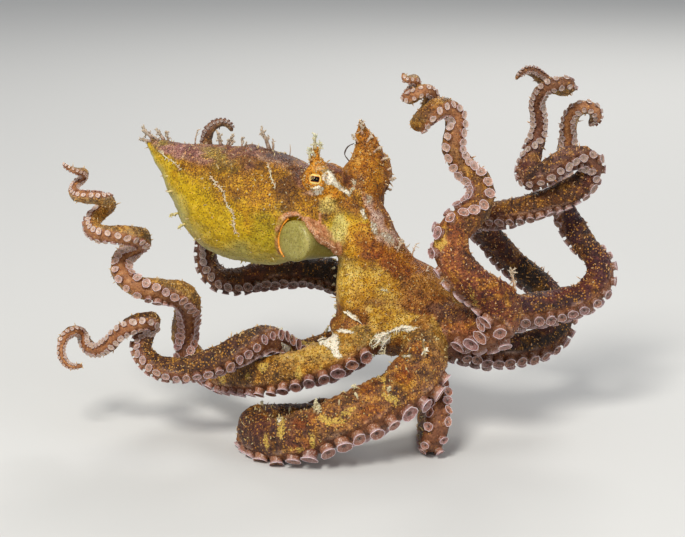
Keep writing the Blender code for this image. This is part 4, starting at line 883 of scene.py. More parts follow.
def build_skin(arms, body):
    """One closed skin round the arms and the body, its points and the form that owns each of them."""
    points, faces = joined([f.tube(ARM_SIDES, 2) for f in arms] + [f.tube(BODY_SIDES, 1) for f in body])
    flap, lip = opening_forms(points, faces)
    body = body + [lip]
    mesh = remeshed(*joined([(points, faces), flap, lip.tube(16, 1)]), VOXEL)
    for name, centre in EYE_CENTRES.items():
        for radius in EYE_REFINED:
            refined(mesh, centre + SHIFT + EYE_RADIUS * eye_axis(name), radius)
    place = points_of(mesh)
    pairs = edges_of(mesh)
    distance = np.array([offsets_from(form, place)[2] for form in arms + body])
    order = np.argsort(distance, axis=0)
    rows = np.arange(len(place))
    owner, second = order[0], distance[order[1], rows]
    place = relaxed(place, pairs, JOINT_EASING * (1.0 - ramp(second, *JOINT_REACH)), JOINT_ROUNDS)
    for i, arm in enumerate(arms):
        place = drawn_to_arm(place, arm, rows[owner == i], second)
    place = relaxed(place, pairs, np.where(owner < len(arms), ARM_EASING, BODY_EASING), 2)
    return mesh, place, owner, body


def opening_forms(points, faces):
    """The flap over the funnel, as points and faces, and the form of the crinkled lip that edges it."""
    funnel = section_form("siphon", SIPHON_END)
    points, faces = joined([(points, faces), funnel.tube(48, 1)])
    tree = BVHTree.FromPolygons(points.tolist(), faces)
    _, _, up, back = camera_axes()
    spots = np.array([cast(tree, px, py)[0] + FLAP_LIFTS[0] * back for px, py in LIP])
    lines = []
    for k, lift in enumerate(FLAP_LIFTS):
        share = k / (len(FLAP_LIFTS) - 1)
        pixels = np.array(LIP[FLAP_START:]) * (1 - share) + np.array(FLAP_ENDS) * share
        lines.append(np.array([cast(tree, px, py)[0] + lift * back for px, py in pixels]))
    fronts = np.array([smooth_curve(line)[0] for line in lines])
    backs = fronts[::-1] - FLAP_DEPTH * back
    rings = np.concatenate([fronts, backs]).transpose(1, 0, 2)
    flap = rings.reshape(-1, 3), tube_faces(len(rings), rings.shape[1])
    line = evenly(np.column_stack([smooth_curve(spots)[0], thickened(LIP_RADIUS)]), 0.3)
    t = np.linspace(0, 1, len(line))
    wave = np.sin(t * LIP_CRINKLES) * ramp(t, 0.45, 0.7)
    middle = line[:, :3] + (0.35 * wave)[:, None] * up
    return flap, cord("lip", middle, line[:, 3] * (1 + 0.2 * wave))


def thickened(radii):
    """A radius for each point of a smooth curve through as many knots as there are radii."""
    count = (len(radii) - 1) * CURVE_STEPS + 1
    return np.interp(np.linspace(0, len(radii) - 1, count), range(len(radii)), radii)


def funnel_axis():
    return unit(np.array(SIPHON_END[SIPHON_RIM][:3]) - np.array(SIPHON_END[SIPHON_RIM - 2][:3]))


def joined(meshes):
    """Several meshes' points and faces as one."""
    points, faces, count = [], [], 0
    for some, these in meshes:
        points.append(some)
        faces += [tuple(i + count for i in face) for face in these]
        count += len(some)
    return np.vstack(points), faces


def camera_axes():
    """The camera's way forward, and the ways to its right, up and back."""
    toward = unit(CAMERA_TARGET - CAMERA_PLACE)
    right = unit(np.cross(toward, (0, 0, 1)))
    return toward, right, np.cross(right, toward), -toward


def sight(px, py):
    """The way that the camera sees a pixel of the photograph."""
    toward, right, up, _ = camera_axes()
    return unit(toward + ((px - PICTURE[0] / 2) * right - (py - PICTURE[1] / 2) * up) / FOCAL_PIXELS)


def cast(tree, px, py):
    """Where a pixel meets a surface and the way out there; a miss slides towards the body's middle."""
    spot = np.array([px, py], float)
    slide = unit(np.array(BODY_PIXEL) - spot) * 0.5
    for _ in range(120):
        hit, normal, _, _ = tree.ray_cast(Vector(CAMERA_PLACE), Vector(sight(*spot)))
        if hit is not None:
            return np.array(hit), np.array(normal)
        spot = spot + slide
    raise ValueError(f"nothing is seen near pixel {px}, {py}")


def trail(tree, run):
    """Points just over the skin along a run of pixels, without those that would leap to a farther surface."""
    _, _, _, back = camera_axes()
    spots = [cast(tree, px, py)[0] + 0.05 * back for px, py in run]
    kept = spots[:1]
    for spot in spots[1:]:
        if abs((spot - kept[-1]) @ back) < LEAP:
            kept.append(spot)
    return kept


def drawn_to_arm(place, arm, rows, second):
    """Moves an arm's own points onto its true section, away from where it joins others."""
    some = place[rows]
    nearest, _, _ = offsets_from(arm, some)
    along = ((some - arm.points[nearest]) * arm.tangents[nearest]).sum(1)
    s = np.clip(arm.at[nearest] + along, 0.0, arm.length)
    middle, up, tangent = [read_at(s, arm.at, line) for line in (arm.points, arm.up, arm.tangents)]
    up = unit_rows(up - (up * tangent).sum(1)[:, None] / (tangent**2).sum(1)[:, None] * tangent)
    side = unit_rows(np.cross(tangent, up))
    offset = some - middle
    angle = np.arctan2((offset * side).sum(1), (offset * up).sum(1))
    tall, wide = np.interp(s, arm.at, arm.tall), np.interp(s, arm.at, arm.wide)
    edge = np.exp(-((np.abs(angle) - EDGE_ANGLE) / 0.16) ** 2)
    edge *= 1.0 + 0.9 * cloud(some, 1.3, 19)
    back = ramp(np.abs(angle), EDGE_ANGLE, math.radians(100))
    wrinkles = WRINKLE_HEIGHT * np.sin(2 * math.pi * (s + 0.8 * cloud(some, 4.0, 23)) / WRINKLE_GAP) * back
    lumps = LUMP_HEIGHT * cloud(some, 3.2, 29, 2) * (0.35 + 0.65 * back)
    hollow = ORAL_HOLLOW * ramp(-np.abs(angle), -EDGE_ANGLE, -0.3)
    reach = ellipse_reach(angle, tall, wide) * (1.0 + EDGE_HEIGHT * edge + wrinkles + lumps - hollow)
    out = np.cos(angle)[:, None] * up + np.sin(angle)[:, None] * side
    share = ramp(second[rows], 0.8, 2.2) * (s < arm.length - tall) * (s > 0.5)
    place[rows] = some + share[:, None] * (middle + reach[:, None] * out - some)
    return place


def lid_shape(place):
    """Pulls the skin round each eyeball into an opening with a raised lid and a fold round that."""
    for name, centre in EYE_CENTRES.items():
        offset = place - (np.array(centre) + SHIFT)
        reach = np.linalg.norm(offset, axis=1)
        angle = np.arccos(np.clip((offset @ eye_axis(name)) / np.maximum(reach, 1e-6), -1, 1))
        rows = np.where((reach < EYE_RADIUS + LID_REACH) & (angle < math.radians(95)))[0]
        way = offset[rows] / reach[rows][:, None]
        past = angle[rows] / LID_OPENING
        lid = LID_HEIGHT * np.exp(-((past - 1.25) / 0.22) ** 2)
        lid += FOLD_HEIGHT * np.exp(-((past - 1.75) / 0.2) ** 2)
        wanted = EYE_RADIUS * np.where(past < 1.0, 0.9 + 0.1 * past**8, 1.015 + lid)
        share = np.where(past < 1.0, 1.0, 1.0 - ramp(past, 1.5, 2.3))
        place[rows] += (share * (wanted - reach[rows]))[:, None] * way
    return place


def skin_relief(place, owner, forms, arm_count):
    """Fine lumps, granules and folds along the skin's own normals, strongest on the eye turrets."""
    lumpy = np.isin(owner, [i for i, form in enumerate(forms) if form.name.startswith(("turret", "horn"))])
    grain = GRAIN_RELIEF * cloud(place, 1.15, 3, 2)
    folds = FOLD_RELIEF * cloud(place, 4.5, 5, 2) * np.where(owner < arm_count, 0.6, 1.0)
    sunk = -PIT_RELIEF * ramp(-cloud(place, 2.2, 17), 0.25, 0.7)
    return grain + folds + sunk + TURRET_RELIEF * cloud(place, 2.6, 13, 2) * lumpy


def blended(stops, t):
    """Dark, middle and bright colours at each t, from tones at fractions of a length."""
    at = [s[0] for s in stops]
    return [read_at(t, at, np.array([linear(TONES[s[1]][k]) for s in stops])) for k in range(3)]


class Paint:
    """Dark, middle and bright colours for every point of the skin, and how its specks and flecks lie."""

    COLOURS = ("low", "mid", "high")
    NUMBERS = ("speck", "fleck", "pale", "gilt", "rough", "net")

    def __init__(self, count):
        for name in self.COLOURS:
            setattr(self, name, np.zeros((count, 3)))
        for name in self.NUMBERS:
            setattr(self, name, np.zeros(count))

    def lay(self, rows, *layers):
        """Lays named tones over some points, one after another, each by a share for each point."""
        for tone, share in layers:
            for name, colour in zip(self.COLOURS, TONES[tone]):
                part = getattr(self, name)
                part[rows] = mixed(part[rows], linear(colour), np.broadcast_to(share, len(rows)))

    def set(self, rows, **values):
        for name, value in values.items():
            getattr(self, name)[rows] = value

    def store(self, mesh):
        """Keeps the colours and numbers as attributes of the mesh."""
        for name in self.COLOURS:
            set_colours(mesh, name, getattr(self, name))
        for name in self.NUMBERS:
            layer = mesh.attributes.new(name, "FLOAT", "POINT")
            layer.data.foreach_set("value", getattr(self, name).astype(np.float32))


def paint_arm(paint, rows, arm, place):
    """An arm's tones from root to tip, its plainer oral side with a pink edge, partly the membrane's colour
    and partly painted highlight where it catches light, and blotches on its back.
    """
    some = place[rows]
    nearest, angle, _ = offsets_from(arm, some)
    t = arm.at[nearest] / arm.length
    paint.low[rows], paint.mid[rows], paint.high[rows] = blended(ARM_TONES[arm.name], t)
    flecks, blotch_tone, ochre = ARM_BACKS[arm.name]
    oral = 1.0 - ramp(np.abs(angle), *ORAL_ANGLES)
    if arm.name == "arm_r1":
        oral *= 1.0 - 0.8 * ramp(t, 0.25, 0.32) * (1 - ramp(t, 0.56, 0.66))
    back = 1 - oral
    edge = np.exp(-((np.abs(angle) - EDGE_ANGLE) / 0.10) ** 2)
    paint.lay(
        rows,
        ("oral_dark" if arm.name in ("arm_l3", "arm_l2") else "oral", 0.85 * oral),
        ("oral_dark", 0.7 * oral * (1 - ramp(t, 0.38, 0.6))),
        # Pink along the membrane edge beside the suckers: partly its own colour, partly painted highlight
        # where the membrane catches light
        ("pink", 0.35 * edge * ramp(cloud(some, 3.0, 41), -0.2, 0.4)),
        (blotch_tone, 0.55 * ramp(cloud(some, 6.0, 51, 2), 0.15, 0.45) * back),
        ("near_black", 0.55 * ramp(cloud(some, 4.0, 57, 2), 0.15, 0.5) * back),
        ("amber", ochre * ramp(cloud(some, 1.8, 59, 2), 0.34, 0.5) * back),
    )
    paint.set(rows, speck=0.5 * back, fleck=flecks * back, rough=1.0 - 0.6 * oral)


def paint_mantle(paint, rows, form, place):
    """The mantle from its yellow belly up to its mauve ridge, with brown patches and an orange glow."""
    some = place[rows]
    nearest, angle, _ = offsets_from(form, some)
    t = form.at[nearest] / form.length
    high = -np.cos(angle)
    wander = 0.22 * cloud(some, 6.0, 61, 2)
    level = high + wander + 0.30 * ramp(t, 0.3, 0.9)
    paint.lay(
        rows,
        ("mantle_belly", 1.0),
        ("mantle_mid", ramp(level, -0.8, -0.3)),
        ("mantle_side", ramp(level, 0.15, 0.65)),
        ("mantle_neck", 0.8 * ramp(t + 0.2 * wander, 0.62, 0.9) * ramp(level, 0.0, 0.5)),
        ("mantle_ridge", 0.9 * ramp(high + wander, 0.68, 0.9)),
        ("mantle_tip", 0.8 * (1 - ramp(t + 0.1 * wander, 0.04, 0.18)) * ramp(level, -0.2, 0.3)),
        ("dark_brown", 0.45 * ramp(cloud(some, 4.5, 67, 2), 0.1, 0.5) * ramp(level, -0.2, 0.5)),
        ("orange_gold", 0.5 * ramp(-cloud(some, 5.0, 69, 2), 0.1, 0.5) * ramp(level, -0.4, 0.2)),
    )
    paint.set(
        rows, speck=0.25 + 0.6 * ramp(level, -0.7, 0.2), fleck=0.10 * ramp(level, 0.3, 0.8),
        rough=0.3 + 0.5 * ramp(level, 0.0, 0.8), net=0.15 + 0.75 * ramp(level, -0.1, 0.5),
    )


def paint_head(paint, rows, place):
    """The crown, the column that rises from it, and the head with its orange near and brown far turret."""
    some = place[rows] - SHIFT
    wander = 3.0 * cloud(some, 6.0, 71, 2)
    across, height = some[:, 0] + wander, some[:, 2] + wander
    right_of = some[:, 0] - np.interp(some[:, 2], *COLUMN_MIDDLE) + wander
    paint.lay(
        rows,
        ("crown_brown", 1.0),
        ("crown_gold", ramp(cloud(some, 7.0, 73, 2), -0.25, 0.2)),
        ("column_low", ramp(height, 33.0, 38.0)),
        ("column", ramp(height, 41.0, 45.0)),
        ("rust", 0.75 * ramp(right_of, 0.0, 5.0) * ramp(height, 30.0, 36.0)),
        ("pale_yellow", 0.35 * (1 - ramp(right_of, -6.0, -1.0)) * ramp(height, 38.0, 44.0)),
        ("head_orange", ramp(height, 56.0, 60.0) * (1 - ramp(across, 4.0, 8.0))),
        ("far_turret", ramp(height, 52.0, 58.0) * ramp(across, 2.0, 7.0)),
        ("crown_brown", 0.6 * ramp(cloud(some, 4.0, 77, 2), 0.2, 0.5)),
    )
    paint.set(
        rows, speck=0.9, fleck=0.05, net=0.5 * ramp(cloud(some, 9.0, 79), -0.3, 0.5),
        rough=0.6 + 0.3 * ramp(right_of, 0.0, 4.0),
    )


def painted(place, owner, arms, body):
    """The paint of the whole skin, form by form."""
    paint = Paint(len(place))
    for i, form in enumerate(arms + body):
        rows = np.where(owner == i)[0]
        if not len(rows):
            continue
        if i < len(arms):
            paint_arm(paint, rows, form, place)
        elif form.name == "lip":
            paint.lay(rows, ("lip", 1.0))
            paint.set(rows, rough=0.8)
        elif form.name == "mantle":
            paint_mantle(paint, rows, form, place)
        else:
            paint_head(paint, rows, place)
    return paint


def mark(paint, place, normals, tree):
    """Lays the photograph's named marks on the skin that the camera sees."""
    _, right, up, back = camera_axes()
    ragged = 0.5 * cloud(place, 1.6, 83, 3)
    facing = normals @ back
    for tone, (px, py), (wide, tall), tilt, strength in MARKS:
        hit, _ = cast(tree, px, py)
        scale = FOCAL_PIXELS / np.linalg.norm(hit - CAMERA_PLACE)
        offset = place - hit
        x, y = offset @ right * scale, -(offset @ up) * scale
        turn = math.radians(tilt)
        u = (x * math.cos(turn) + y * math.sin(turn)) / wide
        v = (y * math.cos(turn) - x * math.sin(turn)) / tall
        away = np.hypot(u, v) + ragged
        seen = (np.abs(offset @ back) < MARK_DEPTH) * ramp(facing, -0.05, 0.2)
        share = strength * (1 - ramp(away, 0.55, 1.25)) * seen
        rows = np.where(share > 0)[0]
        if tone in ("white", "cream"):
            paint.pale[rows] = np.maximum(paint.pale[rows], share[rows] * (1.0 if tone == "white" else 0.75))
            paint.lay(rows, ("pale_yellow", 0.4 * share[rows]))
        elif tone == "gilt":
            paint.gilt[rows] = np.maximum(paint.gilt[rows], share[rows])
        else:
            paint.lay(rows, (tone, share[rows]))


class Value:
    """An output of a shader node, which can be added, subtracted, multiplied and stepped."""

    def __init__(self, nodes, socket):
        self.nodes, self.socket = nodes, socket

    def __add__(self, other):
        return self.nodes.maths("ADD", self, other)

    def __sub__(self, other):
        return self.nodes.maths("SUBTRACT", self, other)

    def __rsub__(self, other):
        return self.nodes.maths("SUBTRACT", other, self)

    def __mul__(self, other):
        return self.nodes.maths("MULTIPLY", self, other)

    def band(self, low, high):
        """0 at low, 1 at high and smooth between."""
        step = {"interpolation_type": "SMOOTHSTEP"}
        return self.nodes.add("ShaderNodeMapRange", step, Value=self, From_Min=low, From_Max=high)[0]


class Nodes:
    """A short way to add shader nodes and their links."""

    def __init__(self, material):
        self.tree = material.node_tree
        self.shader = self.tree.nodes["Principled BSDF"]

    def connect(self, sockets, values):
        """Links or sets sockets, each from its own value."""
        for socket, value in zip(sockets, values):
            if isinstance(value, Value):
                self.tree.links.new(value.socket, socket)
            else:
                socket.default_value = value

    def add(self, kind, settings=None, **inputs):
        """Adds a node with named inputs and gives all its outputs."""
        node = self.tree.nodes.new(kind)
        for key, value in (settings or {}).items():
            setattr(node, key, value)
        names = [key.replace("_", " ") for key in inputs]
        sockets = [next(s for s in node.inputs if s.name == name and s.enabled) for name in names]
        self.connect(sockets, inputs.values())
        return [Value(self, socket) for socket in node.outputs]

    def in_order(self, kind, settings, values):
        """Adds a node with its inputs in order and gives its one output."""
        node = self.tree.nodes.new(kind)
        for key, value in settings.items():
            setattr(node, key, value)
        self.connect([s for s in node.inputs if s.enabled], values)
        return Value(self, next(s for s in node.outputs if s.enabled))

    def maths(self, operation, *values):
        return self.in_order("ShaderNodeMath", {"operation": operation}, values)

    def vectors(self, operation, *values):
        return self.in_order("ShaderNodeVectorMath", {"operation": operation}, values)

    def mix(self, share, under, over):
        return self.in_order("ShaderNodeMix", {"data_type": "RGBA"}, (share, under, over))

    def attribute(self, name):
        """The colour and the number that an attribute of the mesh has at a place."""
        colour, _, number, _ = self.add("ShaderNodeAttribute", {"attribute_name": name})
        return colour, number

    def noise(self, place, scale, detail, roughness=0.5):
        """Smooth noise as a number and as a colour."""
        return self.add("ShaderNodeTexNoise", Vector=place, Scale=scale, Detail=detail, Roughness=roughness)

    def cells(self, place, scale):
        """The distance to the middle of the nearest random cell, and three random numbers for that cell."""
        distance, colour = self.add("ShaderNodeTexVoronoi", Vector=place, Scale=scale)[:2]
        return distance, self.add("ShaderNodeSeparateColor", Color=colour)

    def millimetres(self):
        place = self.tree.nodes.new("ShaderNodeTexCoord").outputs["Object"]
        return self.vectors("SCALE", Value(self, place), 1 / MM)

    def finish(self, colour, height, strength, depth):
        """Links the colour and a grain of some depth in millimetres to the shader."""
        bump = self.add("ShaderNodeBump", Height=height, Strength=strength, Distance=depth * MM)[0]
        self.connect([self.shader.inputs["Base Color"], self.shader.inputs["Normal"]], (colour, bump))


def tint(red, green, blue):
    """A colour for a node from one as a screen shows it."""
    return (*linear((red, green, blue)), 1.0)


def new_material(name, roughness, subsurface=0.0, radius=0.9, specular=0.5):
    """A material and its nodes, with light that reaches some millimetres into it."""
    made = bpy.data.materials.new(name)
    made.use_nodes = True
    nodes = Nodes(made)
    settings = {
        "Roughness": roughness, "Subsurface Weight": subsurface, "Subsurface Radius": (1.0, 0.45, 0.25),
        "Subsurface Scale": radius * MM, "Specular IOR Level": specular,
    }
    nodes.connect([nodes.shader.inputs[key] for key in settings], settings.values())
    return made, nodes


def skin_material():
    """Mottled skin with dark stipples, pale granules and chalky marks, all finer than the mesh."""
    made, n = new_material("octopus_skin", 0.5, 0.10, 0.6, 0.32)
    place = n.millimetres()
    low, mid, high = [n.attribute(name)[0] for name in Paint.COLOURS]
    speck, fleck, pale, gilt, rough, net = [n.attribute(name)[1] for name in Paint.NUMBERS]
    blotch = n.noise(place, 0.55, 5.0, 0.65)[0]
    fine = n.noise(place, 2.0, 4.0, 0.7)[0]
    far, chances = n.cells(place, 1.6)
    near, odds = n.cells(place, 2.4)

    # Blotches, a lighter or darker turn to each small cell, and a dark net
    contrast = rough * 0.5 + 0.5
    wave = blotch * 0.6 + fine * 0.4
    colour = n.mix(wave.band(0.50, 0.59) * contrast * 0.9, mid, high)
    colour = n.mix(wave.band(0.49, 0.41) * contrast, colour, low)
    colour = n.mix(odds[0] * 0.30, colour, high)
    colour = n.mix(odds[2] * 0.26, colour, low)
    warped = n.vectors("ADD", place, n.noise(place, 1.1, 2.0)[1])
    edge = n.add("ShaderNodeTexVoronoi", {"feature": "DISTANCE_TO_EDGE"}, Vector=warped, Scale=1.35)[0]
    colour = n.mix(edge.band(0.16, 0.02) * net * 0.7, colour, tint(66, 34, 14))

    # Gold flecks and finer grains, both in clumps, then dark dots
    clump = (blotch - 0.5) * 1.3
    bright = n.mix(0.65, high, tint(230, 170, 94))
    flecks = (chances[0] + fleck * 0.75 + clump).band(0.84, 1.02) * far.band(0.50, 0.22)
    colour = n.mix(flecks * 0.8, colour, bright)
    grains = (odds[0] + fleck * 0.25 + clump * 0.5).band(0.96, 1.03) * near.band(0.50, 0.30)
    colour = n.mix(grains * 0.85, colour, bright)
    dots = (odds[1] + speck * 0.8).band(0.80, 1.0) * near.band(0.46, 0.30)
    colour = n.mix(dots * 0.85, colour, n.mix(0.6, low, tint(50, 26, 10)))

    # Ragged yellow marks and chalky white ones
    grit = (fine - 0.5) * 2.0
    gold = (gilt + (grit + (near - 0.42) * -1.1)).band(0.42, 0.98) * (1.0 - dots * 0.6)
    colour = n.mix(gold * 0.8, colour, tint(222, 190, 108))
    chalk = (pale + grit).band(0.38, 0.74) * (1.0 - dots * 0.45)
    colour = n.mix(chalk * 0.92, colour, tint(244, 236, 216))
    rich = n.add("ShaderNodeHueSaturation", Saturation=1.10, Color=colour)[0]
    height = far.band(0.6, 0.0) + fine * 1.4 + near.band(0.6, 0.0) * 0.6 + chalk * 1.5
    n.finish(rich, height * rough, 0.9, 0.22)
    n.connect([n.shader.inputs["Roughness"]], [fine * 0.35 + 0.34])
    return made


def piece_material(name, roughness, subsurface, grain):
    """A material that takes its colour from the points, with fine variation and grain."""
    made, n = new_material(name, roughness, subsurface)
    fine = n.noise(n.millimetres(), grain, 3.0, 0.6)[0]
    tone, _ = n.attribute("tone")
    colour = n.mix(fine.band(0.5, 0.72), tone, n.mix(0.35, tone, (1.0, 0.95, 0.85, 1.0)))
    colour = n.mix(fine.band(0.45, 0.28), colour, n.mix(0.45, tone, (0.03, 0.015, 0.01, 1.0)))
    n.finish(colour, fine, 0.5, 0.05)
    return made


def siphon_material():
    """Smooth olive skin stippled with fine dark dots."""
    made, n = new_material("octopus_siphon", 0.4, 0.2)
    place = n.millimetres()
    fine = n.noise(place, 1.4, 5.0, 0.7)[0]
    near, odds = n.cells(place, 2.5)
    tone, _ = n.attribute("tone")
    colour = n.mix(fine.band(0.5, 0.66), tone, n.mix(0.10, tone, (0.9, 0.85, 0.6, 1.0)))
    colour = n.mix(fine.band(0.5, 0.36), colour, n.mix(0.35, tone, tint(96, 84, 34)))
    dots = odds[1].band(0.25, 0.6) * near.band(0.48, 0.22)
    n.finish(n.mix(dots * 0.75, colour, tint(92, 74, 30)), fine, 0.5, 0.05)
    return made


def eye_material():
    """An eyeball with a dark bar pupil, a thin orange ring and a pale yellow one."""
    made, n = new_material("octopus_eye", 0.12, specular=0.1)
    place = n.millimetres()
    _, across, up = n.add("ShaderNodeSeparateXYZ", Vector=place)
    across = n.maths("MAXIMUM", n.maths("ABSOLUTE", across) - PUPIL[0], 0.0)
    up = n.maths("MAXIMUM", n.maths("ABSOLUTE", up) - PUPIL[1], 0.0)
    away = n.maths("SQRT", across * across + up * up)
    away = away + (n.noise(place, 2.2, 3.0)[0] - 0.5) * 0.16
    colour = n.mix(away.band(0.27, 0.32), (0.004, 0.004, 0.006, 1.0), tint(196, 110, 40))
    colour = n.mix(away.band(0.40, 0.47), colour, tint(230, 208, 120))
    colour = n.mix(away.band(0.70, 0.9), colour, tint(190, 130, 50))
    flecks = n.cells(place, 5.0)[0].band(0.2, 0.1) * away.band(0.45, 0.6)
    colour = n.mix(flecks * 0.5, colour, tint(150, 90, 36))
    n.connect([n.shader.inputs["Base Color"]], [colour])
    return made


def sucker(heap, root, way, across, radius, tall, sides, colours):
    """One sucker: a tapered stalk, a flared rim with a thin pale edge, and a soft cup with a hole."""
    along = np.cross(way, across)
    angles = np.arange(sides) / sides * 2 * math.pi + rng.uniform(0, 1)
    squash = 1.0 + 0.10 * np.cos(2 * (angles - rng.uniform(0, math.pi)))
    ripple = 1.0 + 0.05 * rng.normal(size=sides)
    rings, tones = [], []
    for reach, height, tone, rippled in SUCKER_PROFILE:
        spread = radius * reach * squash * (ripple if rippled else 1.0)
        rings.append(
            root + spread[:, None] * (np.cos(angles)[:, None] * across + np.sin(angles)[:, None] * along)
            + radius * (height * tall if height > 0 else height) * way
        )
        tones.append(np.tile(colours[tone], (sides, 1)))
    heap.add(np.array(rings), np.array(tones))


def arm_suckers(arm, others, heap):
    """Suckers in two staggered rows along an arm, as far as other forms leave room."""
    s, heights, shade = ARM_SUCKERS[arm.name]
    row, found = 1, []
    while s < arm.length - 1.0:
        _, tangent, _, side, tall, _ = arm.place(s)
        radius = min(SUCKER_BROADEST, max(SUCKER_SMALLEST, SUCKER_SHARE * tall))
        root, out = arm.skin_at(s, row * SUCKER_SPLAY * (0.9 + 0.2 * rng.random()))
        lean = 0.10 * rng.normal() * tangent + 0.10 * rng.normal() * side
        found.append((s, root, unit(out + lean), tangent, radius * rng.uniform(0.88, 1.08)))
        s += SUCKER_GAP * radius + 0.05
        row = -row
    tips = np.array([root + 0.8 * radius * way for _, root, way, _, radius in found])
    room = 0.25 * np.array([radius for *_, radius in found])
    clear = np.all([offsets_from(other, tips)[2] > room for other in others], axis=0)
    for k in np.where(clear)[0]:
        s, root, way, tangent, radius = found[k]
        t = s / arm.length
        tones = sucker_tones(shade, t, rng.uniform(0.0, 1.0))
        sides = 20 if radius > 1.1 else 14 if radius > 0.6 else 10
        tall = np.interp(t, (0.1, 0.8), heights) * rng.uniform(0.85, 1.15)
        sucker(heap, root, way, unit(tangent - (tangent @ way) * way), radius, tall, sides, tones)


def sucker_tones(shade, t, warm):
    """The colours of a sucker's parts, darkened by the arm's painted shade, whose cup and hole turn paler
    towards the tip of the arm.
    """
    tones = {name: linear(colour) for name, colour in SUCKER_TONES.items()}
    fade = float(ramp(np.array(t), 0.35, 0.8))
    # shade darkens every part as painted shade, the pale rim a little less
    stalk = (tones["stalk"] * (1 - warm) + tones["stalk_warm"] * warm) * shade
    rim = tones["rim"] * (0.4 + 0.6 * shade)
    cup = (tones["cup"] * (1 - warm) + tones["cup_warm"] * warm) * shade
    cup = cup * (1 - fade) + tones["cup_tip"] * shade * fade
    hole = tones["hole"] * shade * (1 - fade) + tones["hole_tip"] * shade * fade
    return {"stalk": stalk, "neck": 0.6 * stalk + 0.4 * rim, "rim": rim, "cup": cup, "hole": hole}


def spine(heap, root, way, length, radius, base, tip, sides=7, rings=6, bend=0.25, lumps=0.18, blunt=0.15):
    """Adds a tapered, bent and lumpy papilla from root tone to tip tone, and gives its end."""
    way = unit(way)
    across = unit(np.cross(way, ANY_WAY))
    along = np.cross(way, across)
    turn = rng.uniform(0, 2 * math.pi)
    curl = math.cos(turn) * across + math.sin(turn) * along
    angles = np.arange(sides) / sides * 2 * math.pi
    points, tones = [], []
    for k in range(rings):
        t = k / (rings - 1)
        centre = root + length * t * way + bend * length * t * t * curl
        thick = radius * ((1 - t) ** 0.75 * (1 - blunt) + blunt) * (1 + lumps * rng.normal())
        if k == rings - 1:
            thick *= 0.5
        ring = centre + thick * (np.cos(angles)[:, None] * across + np.sin(angles)[:, None] * along)
        points.append(ring)
        tones.append(np.tile(base + (tip - base) * t**0.8, (sides, 1)))
    heap.add(np.array(points), np.array(tones))
    return root + length * way + bend * length * curl


def branched(heap, root, way, length, radius, base, tip, depth):
    """A papilla with many short blunt twigs along it, and finer twigs on those."""
    way = unit(way)
    rings, sides = (6, 6) if length > 2.0 else (4, 5)
    end = spine(heap, root - 0.3 * way, way, length + 0.3, radius, base, tip, sides, rings, blunt=0.35)
    if depth == 0:
        return
    twigs = 9 if depth > 1 else 4
    for k in range(twigs):
        t = 0.25 + 0.75 * (k + rng.random()) / twigs
        branch = unit(0.9 * way + 1.2 * unit(rng.normal(size=3)))
        start = root * (1 - t) + end * t - 0.25 * t * (1 - t) * (end - root - length * way)
        size = length * rng.uniform(0.26, 0.48) * (1.15 - 0.5 * t)
        thick = max(radius * rng.uniform(0.5, 0.68), 0.12)
        branched(heap, start, branch, size, thick, base + (tip - base) * 0.8 * t, tip, depth - 1)


def make_eyes(material):
    """The two eyeballs, each turned the way that it looks."""
    for name, centre in EYE_CENTRES.items():
        mesh = bpy.data.meshes.new(name + "_ball")
        work = bmesh.new()
        bmesh.ops.create_uvsphere(work, u_segments=64, v_segments=40, radius=EYE_RADIUS * MM)
        work.to_mesh(mesh)
        work.free()
        mesh.shade_smooth()
        mesh.materials.append(material)
        ball = added(name + "_ball", mesh)
        axis = Vector(eye_axis(name))
        level = Vector((0, 0, 1)).cross(axis).normalized()
        upright = axis.cross(level)
        tilt = math.radians(EYE_TILTS[name])
        across = math.cos(tilt) * level + math.sin(tilt) * upright
        up = math.cos(tilt) * upright - math.sin(tilt) * level
        turn = Matrix((axis, across, up)).transposed().to_4x4()
        ball.matrix_world = Matrix.Translation(Vector(np.array(centre) + SHIFT) * MM) @ turn
        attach(ball, "root")
        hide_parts(name)


def make_siphon(tree, material):
    """The funnel with its flat end, darker towards its root partly as painted shade, and the bright orange
    edge on the end's left as a painted glow.
    """
    points, faces = section_form("siphon", SIPHON_END).tube(96, 1)
    _, right, _, back = camera_axes()
    middle = np.array(SIPHON_END[SIPHON_RIM][:3]) + SHIFT
    axis = funnel_axis()
    across, along = (points - middle) @ right, (points - middle) @ axis
    # The root tone is the funnel's own olive partly darkened as painted shade under the head; bright is the
    # orange of the painted glow along the edge
    root, side, end, bright = [linear(colour) for colour in SIPHON_TONES]
    tones = mixed(np.tile(root, (len(points), 1)), side, ramp(along, -3.0, 0.0))
    tones = mixed(tones, end, ramp(across, 1.5, 4.0) * ramp(along, -0.6, 0.2))
    spots = []
    # The painted glow: a thin bright orange tube along the end's left edge
    for px, py in PAINTED_GLOW_EDGE:
        way = sight(px, py)
        skin, _ = cast(tree, px, py)
        plane = CAMERA_PLACE + way * ((middle - CAMERA_PLACE) @ axis) / (way @ axis)
        spots.append(min(skin, plane, key=lambda p: np.linalg.norm(p - CAMERA_PLACE)) + 0.1 * back)
    line = evenly(smooth_curve(spots)[0], 0.2)
    radius = PAINTED_GLOW_RADIUS * (0.5 + 0.5 * np.sin(np.linspace(0.15, math.pi - 0.15, len(line))))
    tube = cord("edge", line, radius).tube(12, 1)
    mesh = new_mesh("siphon_funnel", *joined([(points, faces), tube]))
    set_colours(mesh, "tone", np.vstack([tones, np.tile(bright, (len(tube[0]), 1))]))
    made = shown("siphon_funnel", mesh, material)
    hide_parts("siphon")


